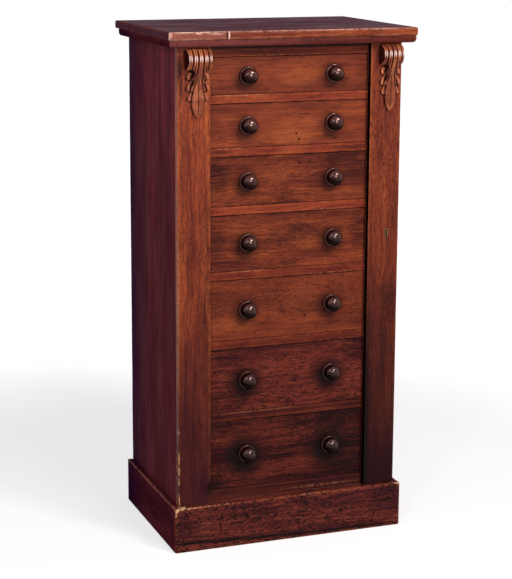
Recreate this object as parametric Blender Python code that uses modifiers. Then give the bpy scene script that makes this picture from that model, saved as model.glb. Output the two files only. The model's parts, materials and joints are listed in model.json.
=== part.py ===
"""Wellington chest: seven graduated drawers, held shut by one hinged flap with a lock.

Metres, +Z up. The front faces -Y and +X is on the right of someone who stands before it.
Pieces are drawn in the carcass's own frame: the floor is z = 0, the middle of the width is
x = 0, and the front face of the pilaster and the flap is y = 0. The chest's empty then moves
everything so that the origin is on the floor under the middle of the whole chest.
"""
import math

import bmesh
import bpy
from mathutils import Matrix, Vector

# Clearances
GAP = 0.0003                 # between two pieces that touch
DRAWER_SLACK = 0.0015        # each side of a drawer, to the stiles
DRAWER_HEAD_GAP = 0.0015     # over a drawer front
DRAWER_FOOT_GAP = 0.0008     # under a drawer front
FLAP_CLEARANCE = 0.0008      # behind the flap
FLAP_END_GAP = 0.0012        # over and under the flap

# Carcass
CARCASS_WIDTH = 0.565
CARCASS_DEPTH = 0.392
SIDE_THICKNESS = 0.020
BACK_THICKNESS = 0.008
BACK_REBATE = 0.008
BACK_INSET = 0.001
BACK_FOOT = 0.020
BASE_THICKNESS = 0.009
POST_DEPTH = 0.030
FRONT_RECESS = 0.016         # the drawers and rails lie this far behind the pilaster's face
STILE_WIDTH = 0.0805

# Top and cornice
TOP_THICKNESS = 0.019
TOP_OVERHANG_FRONT = 0.030
TOP_OVERHANG_SIDE = 0.0285
TOP_OVERHANG_BACK = 0.025
TOP_ROUND = 0.0035
CORNICE_HEIGHT = 0.018
CORNICE_PROUD = 0.026
CORNICE_ROUND = 0.009
CORNICE_FILLET = 0.002

# Plinth
PLINTH_HEIGHT = 0.111
PLINTH_PROUD = 0.0138
PLINTH_BACK_THICKNESS = 0.018
PLINTH_ROUND = 0.0015

# Rails, and the height of each drawer's opening from the top one down
TOP_RAIL_HEIGHT = 0.025
RAIL_HEIGHT = 0.020
BOTTOM_RAIL_HEIGHT = 0.0174
RAIL_DEPTH = 0.040
DUST_BOARD_THICKNESS = 0.008
DUST_BOARD_BACK_GAP = 0.010
OPENING_HEIGHTS = (0.089, 0.105, 0.119, 0.137, 0.149, 0.1595, 0.1715)

# Drawers
FRONT_THICKNESS = 0.020
LINING_THICKNESS = 0.010
BOTTOM_THICKNESS = 0.006
BOTTOM_RAISE = 0.007
DRAWER_BACK_GAP = 0.022      # between the back of a drawer and the back panel
LINING_DROP = 0.003          # the sides stop below the top of the front
BACK_DROP = 0.006            # the back stops below the top of the sides
GUIDE_HEIGHT = 0.014
GUIDE_BACK_GAP = 0.0367      # between the end of a guide and the back panel

# Dovetails of the drawer sides
TAIL_LENGTH = 0.013
TAIL_PITCH = 0.031
TAIL_SHARE = 0.58            # how much of the pitch the root of a tail takes
TAIL_SLOPE = 1.0 / 7.0

# Turned knobs: a wide foot, a waist, a rim, and a boss inside a groove
KNOB_REACH = 0.0310
KNOB_BOSS_RADIUS = 0.0125
KNOB_BOSS_RISE = 0.0045
KNOB_GROOVE = 0.0010
KNOB_RIM_RADIUS = 0.0185
KNOB_RIM_DROP = 0.0042
KNOB_LIP = 0.0024
KNOB_NECK_RADIUS = 0.0105
KNOB_COVE_SHARE = 0.7        # how much of the height between lip and foot the cove takes
KNOB_FOOT_RADIUS = 0.0223
KNOB_FOOT_HEIGHT = 0.0050
KNOB_FOOT_ROUND = 0.0015
KNOB_TENON_RADIUS = 0.0060
KNOB_TENON_LENGTH = 0.0150
KNOB_SPACING = 0.218
KNOB_SHIFT = 0.005           # the pair sits this far right of the middle of the chest
KNOB_SIDES = 16

# Carved corbels: the scroll at the top, a stem that sweeps down out of it, then the leaf
CORBEL_TOP_GAP = 0.0025
CORBEL_HEIGHT = 0.160
CORBEL_SCROLL_RADIUS = 0.025
CORBEL_SCROLL_HALF_WIDTH = 0.0284
CORBEL_SCROLL_REACH = 0.0245
CORBEL_STEM_END = 0.088         # how far down the stem is back at the leaf's depth
CORBEL_SCROLL_CORNER = 0.0105   # how far down its top corners are rounded
CORBEL_CORNER_SHARE = 0.86      # how wide the top is, against the scroll below it
CORBEL_LEAF_DEPTH = 0.0095
CORBEL_EDGE_DEPTH = 0.0035
CORBEL_WAIST_HALF_WIDTH = 0.0155
CORBEL_LOWER_LEAF_HALF_WIDTH = 0.0175
CORBEL_LOBE_HALF_WIDTH = 0.0268
CORBEL_NOTCH_HALF_WIDTH = 0.0190
CORBEL_LOBES = 3
CORBEL_LOBES_END = 0.122        # how far down the last lobe ends and the point starts
CORBEL_TIP_HALF_WIDTH = 0.0006
CORBEL_TIP_FULLNESS = 0.62      # below 1 the sides of the point bulge
CORBEL_TIP_THINNING = 0.45      # how much thinner the leaf is at its tip
CORBEL_GROOVE_DEPTH = 0.0012
CORBEL_SCROLL_GROOVE_DEPTH = 0.0034
CORBEL_RIBS = 5
CORBEL_ROWS = 30
CORBEL_COLUMNS = 20
LEFT_CORBEL_SPREAD = 1.10    # the left one is carved this much wider than the right one
LEFT_CORBEL_SHIFT = 0.0085   # to the right of the pilaster's middle
RIGHT_CORBEL_SHIFT = 0.0090  # to the right of the flap's middle

# Butt hinges of the flap
HINGE_HEIGHT = 0.064
HINGE_FROM_END = 0.110
HINGE_LEAF_WIDTH = 0.017
HINGE_LEAF_THICKNESS = 0.0018
HINGE_KNUCKLE_RADIUS = 0.0032
HINGE_PIN_RADIUS = 0.0014
HINGE_AXIS_OUT = 0.0036
HINGE_RUNNING_GAP = 0.0004
HINGE_KNUCKLE_SIDES = 12

# Lock in the flap: all places are from the middle of the key's pin
LOCK_FROM_FLAP_EDGE = 0.049
KEY_HEIGHT = 0.757
CASE_LEFT = 0.026
CASE_RIGHT = 0.020
CASE_HALF_HEIGHT = 0.032
CASE_DEPTH = 0.0109
CASE_WALL = 0.0015
ESCUTCHEON_RADIUS = 0.0046
ESCUTCHEON_WALL = 0.0019
ESCUTCHEON_SKIRT = 0.0165
ESCUTCHEON_SKIRT_HALF_WIDTH = 0.0036
ESCUTCHEON_LENGTH = 0.0036
ESCUTCHEON_PROUD = 0.0004
BOLT_THICKNESS = 0.0023
BOLT_BOTTOM = 0.029
BOLT_TOP = 0.005
BOLT_FINGER_OFFSET = 0.014
BOLT_FINGER_WIDTH = 0.004
BOLT_FINGER_TOP = 0.006
BOLT_TALON_DEPTH = 0.008
BOLT_TALON_WIDTH = 0.008
KEEP_RISE = 0.0075
KEEP_THICKNESS = 0.003
KEEP_WIDTH = 0.0104
KEEP_REACH = 0.0073
KEEP_BAR = 0.0012
KEEP_BOLT_GAP = 0.0008
KEEP_SWING_GAP = 0.0013
KEEP_PLATE_THICKNESS = 0.0015
KEEP_PLATE_HALF_WIDTH = 0.009
KEEP_PLATE_HALF_HEIGHT = 0.015

# Heights worked out from the floor up
BOTTOM_RAIL_FOOT = PLINTH_HEIGHT + BASE_THICKNESS + 2 * GAP
LOWEST_SHELF = BOTTOM_RAIL_FOOT + BOTTOM_RAIL_HEIGHT
TOP_RAIL_FOOT = LOWEST_SHELF + sum(OPENING_HEIGHTS) + RAIL_HEIGHT * (len(OPENING_HEIGHTS) - 1)
CORNICE_FOOT = TOP_RAIL_FOOT + TOP_RAIL_HEIGHT
TOP_FOOT = CORNICE_FOOT + CORNICE_HEIGHT
CHEST_HEIGHT = TOP_FOOT + TOP_THICKNESS

# Widths and depths worked out from the carcass
HALF_WIDTH = CARCASS_WIDTH / 2
SIDE_INNER = HALF_WIDTH - SIDE_THICKNESS
STILE_EDGE = HALF_WIDTH - STILE_WIDTH
FRAME_FRONT = FRONT_RECESS + GAP
POST_BACK = FRAME_FRONT + POST_DEPTH
BACK_FRONT = CARCASS_DEPTH - BACK_INSET - BACK_THICKNESS
FLAP_BACK = FRONT_RECESS - FLAP_CLEARANCE
DRAWER_HALF_WIDTH = STILE_EDGE - DRAWER_SLACK
DRAWER_BACK = BACK_FRONT - DRAWER_BACK_GAP
FRONT_BACK = FRONT_RECESS + FRONT_THICKNESS
CORBEL_DEPTH = CORBEL_LEAF_DEPTH + CORBEL_SCROLL_REACH
HINGE_AXIS = Vector((HALF_WIDTH + HINGE_AXIS_OUT, FRONT_RECESS, 0.0))
KEY_X = STILE_EDGE + LOCK_FROM_FLAP_EDGE
CASE_FRONT = FLAP_BACK - GAP - CASE_DEPTH
BOLT_BACK = FLAP_BACK - GAP - CASE_WALL - GAP
CHEST_SHIFT = (CORBEL_DEPTH + GAP - CARCASS_DEPTH - TOP_OVERHANG_BACK) / 2

for old in list(bpy.data.objects):
    bpy.data.objects.remove(old, do_unlink=True)

CHEST = bpy.data.collections.new("wellington_chest")
CUTTERS = bpy.data.collections.new("cutters")
bpy.context.scene.collection.children.link(CHEST)
bpy.context.scene.collection.children.link(CUTTERS)
PIVOT_PLACES = {}


# Materials

def wood(name, colour, roughness):
    return principled(name, colour, roughness, 0.0)


def metal(name, colour, roughness):
    return principled(name, colour, roughness, 1.0)


def principled(name, colour, roughness, metallic):
    material = bpy.data.materials.new(name)
    material.use_nodes = True
    shader = material.node_tree.nodes["Principled BSDF"]
    shader.inputs["Base Color"].default_value = (*colour, 1.0)
    shader.inputs["Roughness"].default_value = roughness
    shader.inputs["Metallic"].default_value = metallic
    material.diffuse_color = (*colour, 1.0)
    return material


MAHOGANY = wood("mahogany", (0.200, 0.048, 0.020), 0.34)
DARK_MAHOGANY = wood("dark_mahogany", (0.085, 0.030, 0.024), 0.42)
TURNED_WOOD = wood("turned_wood", (0.055, 0.018, 0.012), 0.22)
LINING_WOOD = wood("lining_wood", (0.420, 0.260, 0.130), 0.62)
BRASS = metal("brass", (0.720, 0.560, 0.300), 0.33)
STEEL = metal("steel", (0.300, 0.290, 0.280), 0.45)


# Placing

def pivot(name, place, parent=None):
    """Empty that carries a body: its place, in the carcass's frame, lies on the body's joint axis."""
    empty = bpy.data.objects.new(name, None)
    empty.empty_display_size = 0.05
    CHEST.objects.link(empty)
    place = Vector(place)
    PIVOT_PLACES[name] = place
    empty.parent = parent
    empty.location = place - PIVOT_PLACES[parent.name] if parent else place + Vector((0, CHEST_SHIFT, 0))
    return empty


def put(name, mesh, place, material, parent):
    """Object in the chest with its own origin at place, which is given in the carcass's frame."""
    part = bpy.data.objects.new(name, mesh)
    if not mesh.materials:
        mesh.materials.append(material)
    CHEST.objects.link(part)
    part.parent = parent
    part.location = Vector(place) - PIVOT_PLACES[parent.name]
    return part


def put_cutter(name, mesh, place, parent):
    """Hidden object that a Boolean modifier takes away from a part, or adds to it."""
    cutter = put(name, mesh, place, STEEL, parent)
    CHEST.objects.unlink(cutter)
    CUTTERS.objects.link(cutter)
    cutter.hide_render = True
    cutter.display_type = "WIRE"
    return cutter


def combine(part, others, operation):
    """Boolean of part with the hidden objects in others, all at once."""
    group = bpy.data.collections.new(part.name + "_" + operation.lower())
    CUTTERS.children.link(group)
    for other in others:
        CUTTERS.objects.unlink(other)
        group.objects.link(other)
    modifier = part.modifiers.new(operation.title(), "BOOLEAN")
    modifier.operation = operation
    modifier.operand_type = "COLLECTION"
    modifier.collection = group
    modifier.solver = "EXACT"


def round_edges(part, width, segments=2):
    modifier = part.modifiers.new("Round edges", "BEVEL")
    modifier.width = width
    modifier.segments = segments
    modifier.limit_method = "ANGLE"
    modifier.angle_limit = math.radians(40)


# Shapes

def box_mesh(name, x, y, z):
    """Box mesh about its own middle, and that middle: x, y and z are (low, high) pairs."""
    low = Vector((x[0], y[0], z[0]))
    high = Vector((x[1], y[1], z[1]))
    mesh = bpy.data.meshes.new(name)
    shape = bmesh.new()
    bmesh.ops.create_cube(shape, size=1.0)
    bmesh.ops.scale(shape, vec=high - low, verts=shape.verts)
    shape.to_mesh(mesh)
    shape.free()
    return mesh, (low + high) / 2


def box(name, x, y, z, material, parent):
    mesh, middle = box_mesh(name, x, y, z)
    return put(name, mesh, middle, material, parent)


def box_cutter(name, x, y, z, parent):
    mesh, middle = box_mesh(name, x, y, z)
    return put_cutter(name, mesh, middle, parent)


def cylinder_mesh(name, radius, length, axis, sides):
    """Cylinder mesh about its own middle, along the axis X, Y or Z."""
    mesh = bpy.data.meshes.new(name)
    shape = bmesh.new()
    bmesh.ops.create_cone(shape, cap_ends=True, segments=sides,
                          radius1=radius, radius2=radius, depth=length)
    shape.transform(TURNS[axis])
    shape.to_mesh(mesh)
    shape.free()
    return mesh


# How an outline drawn in XY, and thickened along Z, is turned so that its thickness lies along an axis
TURNS = {
    "X": Matrix(((0, 0, 1, 0), (1, 0, 0, 0), (0, 1, 0, 0), (0, 0, 0, 1))),
    "Y": Matrix(((1, 0, 0, 0), (0, 0, -1, 0), (0, 1, 0, 0), (0, 0, 0, 1))),
    "Z": Matrix.Identity(4),
}


def plate_mesh(name, outlines, thickness, axis):
    """Flat plate from closed outlines, the first one outside and the others as holes.

    The outline's two coordinates are YZ for axis X, XZ for axis Y and XY for axis Z.
    """
    curve = bpy.data.curves.new(name, "CURVE")
    curve.dimensions = "2D"
    curve.fill_mode = "BOTH"
    curve.extrude = thickness / 2
    for outline in outlines:
        spline = curve.splines.new("POLY")
        spline.points.add(len(outline) - 1)
        for point, corner in zip(spline.points, outline):
            point.co = (corner[0], corner[1], 0.0, 1.0)
        spline.use_cyclic_u = True
    holder = bpy.data.objects.new(name, curve)
    bpy.context.scene.collection.objects.link(holder)
    depsgraph = bpy.context.evaluated_depsgraph_get()
    mesh = bpy.data.meshes.new_from_object(holder.evaluated_get(depsgraph))
    bpy.data.objects.remove(holder, do_unlink=True)
    mesh.name = name
    shape = bmesh.new()
    shape.from_mesh(mesh)
    bmesh.ops.remove_doubles(shape, verts=shape.verts, dist=0.00001)
    bmesh.ops.dissolve_limit(shape, angle_limit=math.radians(0.1), verts=shape.verts, edges=shape.edges)
    shape.transform(TURNS[axis])
    bmesh.ops.recalc_face_normals(shape, faces=shape.faces)
    shape.to_mesh(mesh)
    shape.free()
    return mesh


def arc(centre, radius, start, end, steps):
    """Points of an arc, the angles in degrees."""
    points = []
    for step in range(steps + 1):
        angle = math.radians(start + (end - start) * step / steps)
        points.append((centre[0] + radius * math.cos(angle), centre[1] + radius * math.sin(angle)))
    return points


def smooth(value):
    """Smooth step from 0 to 1."""
    value = max(0.0, min(1.0, value))
    return value * value * (3 - 2 * value)


# Carcass

def make_sides(chest):
    """Each side board with the post at its front and a guide strip beside each drawer."""
    for name, sign in (("left", -1), ("right", 1)):
        side = box(f"side_{name}", across(sign, SIDE_INNER, HALF_WIDTH), (FRAME_FRONT, CARCASS_DEPTH),
                   (0.0, TOP_FOOT - GAP), DARK_MAHOGANY, chest)
        glued = [box_cutter(f"post_{name}", across(sign, STILE_EDGE, SIDE_INNER + SIDE_THICKNESS / 2),
                            (FRAME_FRONT, POST_BACK), (BOTTOM_RAIL_FOOT, TOP_FOOT - GAP), chest)]
        for number, shelf in enumerate(shelf_heights(), 1):
            foot = shelf + GAP
            glued.append(box_cutter(f"guide_{name}_{number}",
                                    across(sign, STILE_EDGE, SIDE_INNER + SIDE_THICKNESS / 2),
                                    (POST_BACK - POST_DEPTH / 2, BACK_FRONT - GUIDE_BACK_GAP),
                                    (foot, foot + GUIDE_HEIGHT), chest))
        combine(side, glued, "UNION")
        cuts = [box_cutter(f"rebate_{name}",
                           across(sign, SIDE_INNER - BACK_REBATE, SIDE_INNER + BACK_REBATE),
                           (BACK_FRONT - GAP, CARCASS_DEPTH + BACK_REBATE),
                           (BACK_FOOT - GAP, TOP_FOOT + BACK_REBATE), chest)]
        if sign > 0:
            cuts += hinge_recesses("side", (FRAME_FRONT - HINGE_LEAF_THICKNESS,
                                            FRAME_FRONT + HINGE_LEAF_THICKNESS + GAP), chest)
            cuts.append(keep_recess(chest))
        combine(side, cuts, "DIFFERENCE")


def across(sign, inner, outer):
    """Low and high x of a piece that lies from inner to outer on one side of the middle."""
    return (inner, outer) if sign > 0 else (-outer, -inner)


def shelf_heights():
    """Height of the surface that each drawer slides on, from the top drawer down."""
    heights = []
    ceiling = TOP_RAIL_FOOT
    for opening in OPENING_HEIGHTS:
        heights.append(ceiling - opening)
        ceiling -= opening + RAIL_HEIGHT
    return heights


def make_back_and_base(chest):
    half_back = SIDE_INNER + BACK_REBATE - GAP
    box("back_panel", (-half_back, half_back), (BACK_FRONT, CARCASS_DEPTH - BACK_INSET),
        (BACK_FOOT, TOP_FOOT - GAP), LINING_WOOD, chest)
    half_base = SIDE_INNER - GAP
    box("base_board", (-half_base, half_base), (FRONT_RECESS, BACK_FRONT - GAP),
        (PLINTH_HEIGHT + GAP, PLINTH_HEIGHT + GAP + BASE_THICKNESS), MAHOGANY, chest)


def make_top(chest):
    top = box("top_board", (-HALF_WIDTH - TOP_OVERHANG_SIDE, HALF_WIDTH + TOP_OVERHANG_SIDE),
              (-TOP_OVERHANG_FRONT, CARCASS_DEPTH + TOP_OVERHANG_BACK),
              (TOP_FOOT, CHEST_HEIGHT), DARK_MAHOGANY, chest)
    round_edges(top, TOP_ROUND, 3)


def make_cornice(chest):
    """Moulding under the top: a fillet over a bullnose, mitred where the front meets the sides."""
    low = CORNICE_FOOT + GAP
    high = TOP_FOOT - GAP
    nose = (-CORNICE_PROUD + CORNICE_ROUND, low + CORNICE_ROUND)
    face = [(-CORNICE_PROUD, high), (-CORNICE_PROUD, high - CORNICE_FILLET)]
    face += [(-CORNICE_PROUD + GAP, high - CORNICE_FILLET - GAP)]
    face += arc(nose, CORNICE_ROUND - GAP, 180, 270, 5)
    section = face + [(-GAP, low), (-GAP, high)]
    front = mitred_strip("cornice_front", section, chest)
    for vertex in front.data.vertices:
        vertex.co.x = math.copysign(HALF_WIDTH - vertex.co.y, vertex.co.x)
    backing = box_cutter("cornice_backing", (-HALF_WIDTH, HALF_WIDTH),
                         (-CORNICE_PROUD / 4, FRONT_RECESS - GAP), (low, high), chest)
    combine(front, [backing], "UNION")
    for name, sign in (("left", -1), ("right", 1)):
        side = mitred_strip(f"cornice_{name}", section, chest)
        for vertex in side.data.vertices:
            proud = -vertex.co.y
            vertex.co.y = CARCASS_DEPTH if vertex.co.x > 0 else 2 * GAP - proud
            vertex.co.x = sign * (HALF_WIDTH + proud)
        face_outwards(side.data)


def mitred_strip(name, section, chest):
    """Strip along X with the given YZ section: its ends are then moved to their mitres."""
    mesh = plate_mesh(name, [section], 1.0, "X")
    return put(name, mesh, (0, 0, 0), MAHOGANY, chest)


def face_outwards(mesh):
    shape = bmesh.new()
    shape.from_mesh(mesh)
    bmesh.ops.recalc_face_normals(shape, faces=shape.faces)
    shape.to_mesh(mesh)
    shape.free()


def make_plinth(chest):
    """Boards round the foot, mitred at the front corners, and one between the sides at the back."""
    outer = HALF_WIDTH + PLINTH_PROUD
    board = FRONT_RECESS - GAP
    front = [(-outer, -PLINTH_PROUD), (outer, -PLINTH_PROUD), (HALF_WIDTH, 0), (HALF_WIDTH, board),
             (-HALF_WIDTH, board), (-HALF_WIDTH, 0)]
    plinth_board("plinth_front", front, MAHOGANY, chest)
    for name, sign in (("left", -1), ("right", 1)):
        corner = (sign * (HALF_WIDTH + GAP), GAP)
        outline = [(sign * outer, 2 * GAP - PLINTH_PROUD), corner,
                   (corner[0], CARCASS_DEPTH), (sign * outer, CARCASS_DEPTH)]
        plinth_board(f"plinth_{name}", outline, DARK_MAHOGANY, chest)
    inner = SIDE_INNER - GAP
    back = BACK_FRONT - GAP
    box("plinth_back", (-inner, inner), (back - PLINTH_BACK_THICKNESS, back), (0, PLINTH_HEIGHT),
        LINING_WOOD, chest)


def plinth_board(name, outline, material, chest):
    mesh = plate_mesh(name, [outline], PLINTH_HEIGHT, "Z")
    board = put(name, mesh, (0, 0, PLINTH_HEIGHT / 2), material, chest)
    round_edges(board, PLINTH_ROUND, 1)


def make_rails(chest):
    """Top rail, the six dividers and the bottom rail: a front rail with its dust board behind."""
    inner = STILE_EDGE - GAP
    box("top_rail", (-inner, inner), (FRONT_RECESS, POST_BACK), (TOP_RAIL_FOOT, TOP_FOOT - GAP),
        MAHOGANY, chest)
    shelves = shelf_heights()
    for number, shelf in enumerate(shelves[:-1], 1):
        divider(f"divider_{number}", shelf, RAIL_HEIGHT, chest)
    divider("bottom_rail", shelves[-1], BOTTOM_RAIL_HEIGHT, chest)


def divider(name, shelf, height, chest):
    """Rail between the posts, and a thinner board behind it that reaches both sides."""
    narrow = STILE_EDGE - GAP
    wide = SIDE_INNER - GAP
    rail = box(name, (-narrow, narrow), (FRONT_RECESS, FRONT_RECESS + RAIL_DEPTH),
               (shelf - height, shelf), MAHOGANY, chest)
    dust_board = box_cutter(name + "_dust_board", (-wide, wide),
                            (POST_BACK + GAP, BACK_FRONT - DUST_BOARD_BACK_GAP),
                            (shelf - DUST_BOARD_THICKNESS, shelf), chest)
    combine(rail, [dust_board], "UNION")


def make_pilaster(chest):
    box("left_pilaster", (-HALF_WIDTH, -STILE_EDGE), (0, FRONT_RECESS),
        (PLINTH_HEIGHT + GAP, CORNICE_FOOT), MAHOGANY, chest)
    corbel("corbel_left", -HALF_WIDTH + STILE_WIDTH / 2 + LEFT_CORBEL_SHIFT, LEFT_CORBEL_SPREAD, chest)


# Carved corbels

def corbel(name, middle_x, spread, parent):
    """Acanthus bracket: a ribbed scroll that rolls forward, over a leaf with lobed edges.

    The carved front is a loft of cross sections down the bracket, closed by a flat back.
    """
    top = CORNICE_FOOT - CORBEL_TOP_GAP
    shape = bmesh.new()
    rows = []
    for row in range(CORBEL_ROWS + 1):
        drop = CORBEL_HEIGHT * row / CORBEL_ROWS
        half_width = corbel_half_width(drop)
        section = []
        for column in range(CORBEL_COLUMNS + 1):
            across_share = 2 * column / CORBEL_COLUMNS - 1
            x = half_width * across_share
            y = -corbel_depth(drop, x, across_share)
            section.append(shape.verts.new((x * spread, y, top - drop)))
        rows.append(section)
    for upper, lower in zip(rows, rows[1:]):
        for column in range(CORBEL_COLUMNS):
            shape.faces.new((upper[column], lower[column], lower[column + 1], upper[column + 1]))
        shape.faces.new((upper[-1], lower[-1], lower[0], upper[0]))
    shape.faces.new(rows[0])
    shape.faces.new(rows[-1])
    bmesh.ops.recalc_face_normals(shape, faces=shape.faces)
    bmesh.ops.translate(shape, vec=(0, -GAP, -top), verts=shape.verts)
    mesh = bpy.data.meshes.new(name)
    shape.to_mesh(mesh)
    shape.free()
    mesh.shade_smooth()
    mesh.set_sharp_from_angle(angle=math.radians(50))
    return put(name, mesh, (middle_x, 0, top), MAHOGANY, parent)


def corbel_half_width(drop):
    """Half of the bracket's width: straight at the scroll, lobed down the leaf, then to a point."""
    scroll_end = 2 * CORBEL_SCROLL_RADIUS
    if drop <= scroll_end:
        corner = smooth(drop / CORBEL_SCROLL_CORNER)
        return CORBEL_SCROLL_HALF_WIDTH * (CORBEL_CORNER_SHARE + (1 - CORBEL_CORNER_SHARE) * corner)
    if drop <= CORBEL_LOBES_END:
        turn = math.pi * CORBEL_LOBES * (drop - scroll_end) / (CORBEL_LOBES_END - scroll_end)
        lobe = CORBEL_LOBE_HALF_WIDTH - CORBEL_NOTCH_HALF_WIDTH
        return CORBEL_NOTCH_HALF_WIDTH + lobe * math.sqrt(abs(math.sin(turn)))
    left = max(0.0, CORBEL_HEIGHT - drop) / (CORBEL_HEIGHT - CORBEL_LOBES_END)
    taper = CORBEL_NOTCH_HALF_WIDTH - CORBEL_TIP_HALF_WIDTH
    return CORBEL_TIP_HALF_WIDTH + taper * left ** CORBEL_TIP_FULLNESS


def corbel_depth(drop, x, across_share):
    """How far the carving stands off the stile, at a drop below its top and x from its middle."""
    edge = (1 - abs(across_share) ** 6) ** 0.5
    body_share = min(1.0, abs(x) / corbel_body_half_width(drop))
    body_round = (1 - body_share ** 2.6) ** 0.5
    to_tip = smooth((drop - CORBEL_LOBES_END) / (CORBEL_HEIGHT - CORBEL_LOBES_END))
    body = CORBEL_LEAF_DEPTH * body_round * (1 - CORBEL_TIP_THINNING * to_tip)
    chord = CORBEL_SCROLL_RADIUS ** 2 - (drop - CORBEL_SCROLL_RADIUS) ** 2
    roll = math.sqrt(max(0.0, chord)) / CORBEL_SCROLL_RADIUS * (1 - abs(across_share) ** 8) ** 0.5
    sweep = smooth((drop - CORBEL_SCROLL_RADIUS) / (CORBEL_STEM_END - CORBEL_SCROLL_RADIUS))
    stem = (1 - sweep) * body_round if drop > CORBEL_SCROLL_RADIUS else 0.0
    rib = abs(math.sin(CORBEL_RIBS * math.pi * (across_share + 1) / 2))
    groove = CORBEL_GROOVE_DEPTH + (CORBEL_SCROLL_GROOVE_DEPTH - CORBEL_GROOVE_DEPTH) * roll
    depth = max(CORBEL_EDGE_DEPTH * edge, body) + CORBEL_SCROLL_REACH * max(roll, stem)
    return max(0.0, depth - groove * (1 - math.sqrt(rib)) * edge)


def corbel_body_half_width(drop):
    """Half width of the raised middle: as wide as the scroll, then a waist, then the lower leaf."""
    scroll_end = 2 * CORBEL_SCROLL_RADIUS
    to_waist = smooth((drop - 0.8 * scroll_end) / (0.4 * scroll_end))
    to_leaf = smooth((drop / CORBEL_LOBES_END - 0.66) / 0.2)
    width = CORBEL_SCROLL_HALF_WIDTH + (CORBEL_WAIST_HALF_WIDTH - CORBEL_SCROLL_HALF_WIDTH) * to_waist
    width += (CORBEL_LOWER_LEAF_HALF_WIDTH - CORBEL_WAIST_HALF_WIDTH) * to_leaf
    return max(CORBEL_TIP_HALF_WIDTH, min(width, corbel_half_width(drop)))


# Drawers

def make_drawers(chest):
    ceiling = TOP_RAIL_FOOT
    knob = knob_mesh()
    for number, (opening, shelf) in enumerate(zip(OPENING_HEIGHTS, shelf_heights()), 1):
        name = f"drawer_{number}"
        foot = shelf + DRAWER_FOOT_GAP
        head = ceiling - DRAWER_HEAD_GAP
        middle = (foot + head) / 2
        slide = pivot(name, (0, FRONT_RECESS, middle), chest)
        knobs = [(side, KNOB_SHIFT + sign * KNOB_SPACING / 2)
                 for side, sign in (("left", -1), ("right", 1))]
        lining_foot = shelf + GAP
        lining_height = head - LINING_DROP - lining_foot
        drawer_front(name, foot, head, lining_foot, lining_height, knobs, slide)
        drawer_box(name, lining_foot, lining_height, slide)
        for side, x in knobs:
            turned = put(f"{name}_knob_{side}", knob, (x, FRONT_RECESS - GAP, middle), TURNED_WOOD, slide)
            turn_round(turned)
            turned.rotation_euler.x = math.radians(90)
        ceiling = shelf - RAIL_HEIGHT


def drawer_front(name, foot, head, lining_foot, lining_height, knobs, slide):
    """Front board with blind sockets for the tails of the sides and holes for the knobs."""
    front = box(name + "_front", (-DRAWER_HALF_WIDTH, DRAWER_HALF_WIDTH), (FRONT_RECESS, FRONT_BACK),
                (foot, head), MAHOGANY, slide)
    overshoot = LINING_THICKNESS / 2
    comb = tail_comb(lining_foot, lining_height, FRONT_BACK + 2 * GAP, FRONT_BACK + overshoot, GAP)
    width = LINING_THICKNESS + GAP + overshoot
    cuts = []
    for side, sign in (("left", -1), ("right", 1)):
        mesh = plate_mesh(f"{name}_sockets_{side}", [comb], width, "X")
        x = sign * (DRAWER_HALF_WIDTH + overshoot - width / 2)
        cuts.append(put_cutter(mesh.name, mesh, (x, 0, 0), slide))
    for side, x in knobs:
        hole = cylinder_mesh(f"{name}_hole_{side}", KNOB_TENON_RADIUS + GAP, 4 * FRONT_THICKNESS, "Y",
                             KNOB_SIDES)
        cuts.append(put_cutter(hole.name, hole, (x, FRONT_RECESS, (foot + head) / 2), slide))
    combine(front, cuts, "DIFFERENCE")


def tail_comb(foot, height, strip_start, strip_end, growth):
    """YZ outline of a drawer side whose front end is cut into dovetails.

    With growth it is the outline of the sockets that those tails enter with a clearance.
    """
    tip = FRONT_BACK - TAIL_LENGTH - growth
    count = max(2, round(height / TAIL_PITCH))
    pitch = height / count
    half_root = pitch * TAIL_SHARE / 2 + growth
    half_tip = half_root + TAIL_LENGTH * TAIL_SLOPE
    outline = [(strip_end, foot), (strip_start, foot)]
    for tail in range(count):
        middle = foot + pitch * (tail + 0.5)
        outline += [(strip_start, middle - half_root), (tip, middle - half_tip),
                    (tip, middle + half_tip), (strip_start, middle + half_root)]
    outline += [(strip_start, foot + height), (strip_end, foot + height)]
    return outline


def drawer_box(name, foot, height, slide):
    """Sides, back and bottom of a drawer, glued up as one."""
    comb = tail_comb(foot, height, FRONT_BACK + GAP, DRAWER_BACK, 0.0)
    mesh = plate_mesh(name + "_box", [comb], LINING_THICKNESS, "X")
    x = DRAWER_HALF_WIDTH - LINING_THICKNESS / 2
    sides = put(name + "_box", mesh, (-x, 0, 0), LINING_WOOD, slide)
    groove = LINING_THICKNESS / 2
    reach = DRAWER_HALF_WIDTH - groove
    other_side = put_cutter(name + "_other_side", mesh.copy(), (x, 0, 0), slide)
    bottom = box_cutter(name + "_bottom", (-reach, reach), (FRONT_BACK + GAP, DRAWER_BACK - GAP),
                        (foot + BOTTOM_RAISE, foot + BOTTOM_RAISE + BOTTOM_THICKNESS), slide)
    back = box_cutter(name + "_back", (-reach, reach),
                      (DRAWER_BACK - LINING_THICKNESS, DRAWER_BACK - 2 * GAP),
                      (foot + BOTTOM_RAISE + BOTTOM_THICKNESS / 2, foot + height - BACK_DROP), slide)
    combine(sides, [other_side, bottom, back], "UNION")


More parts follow.
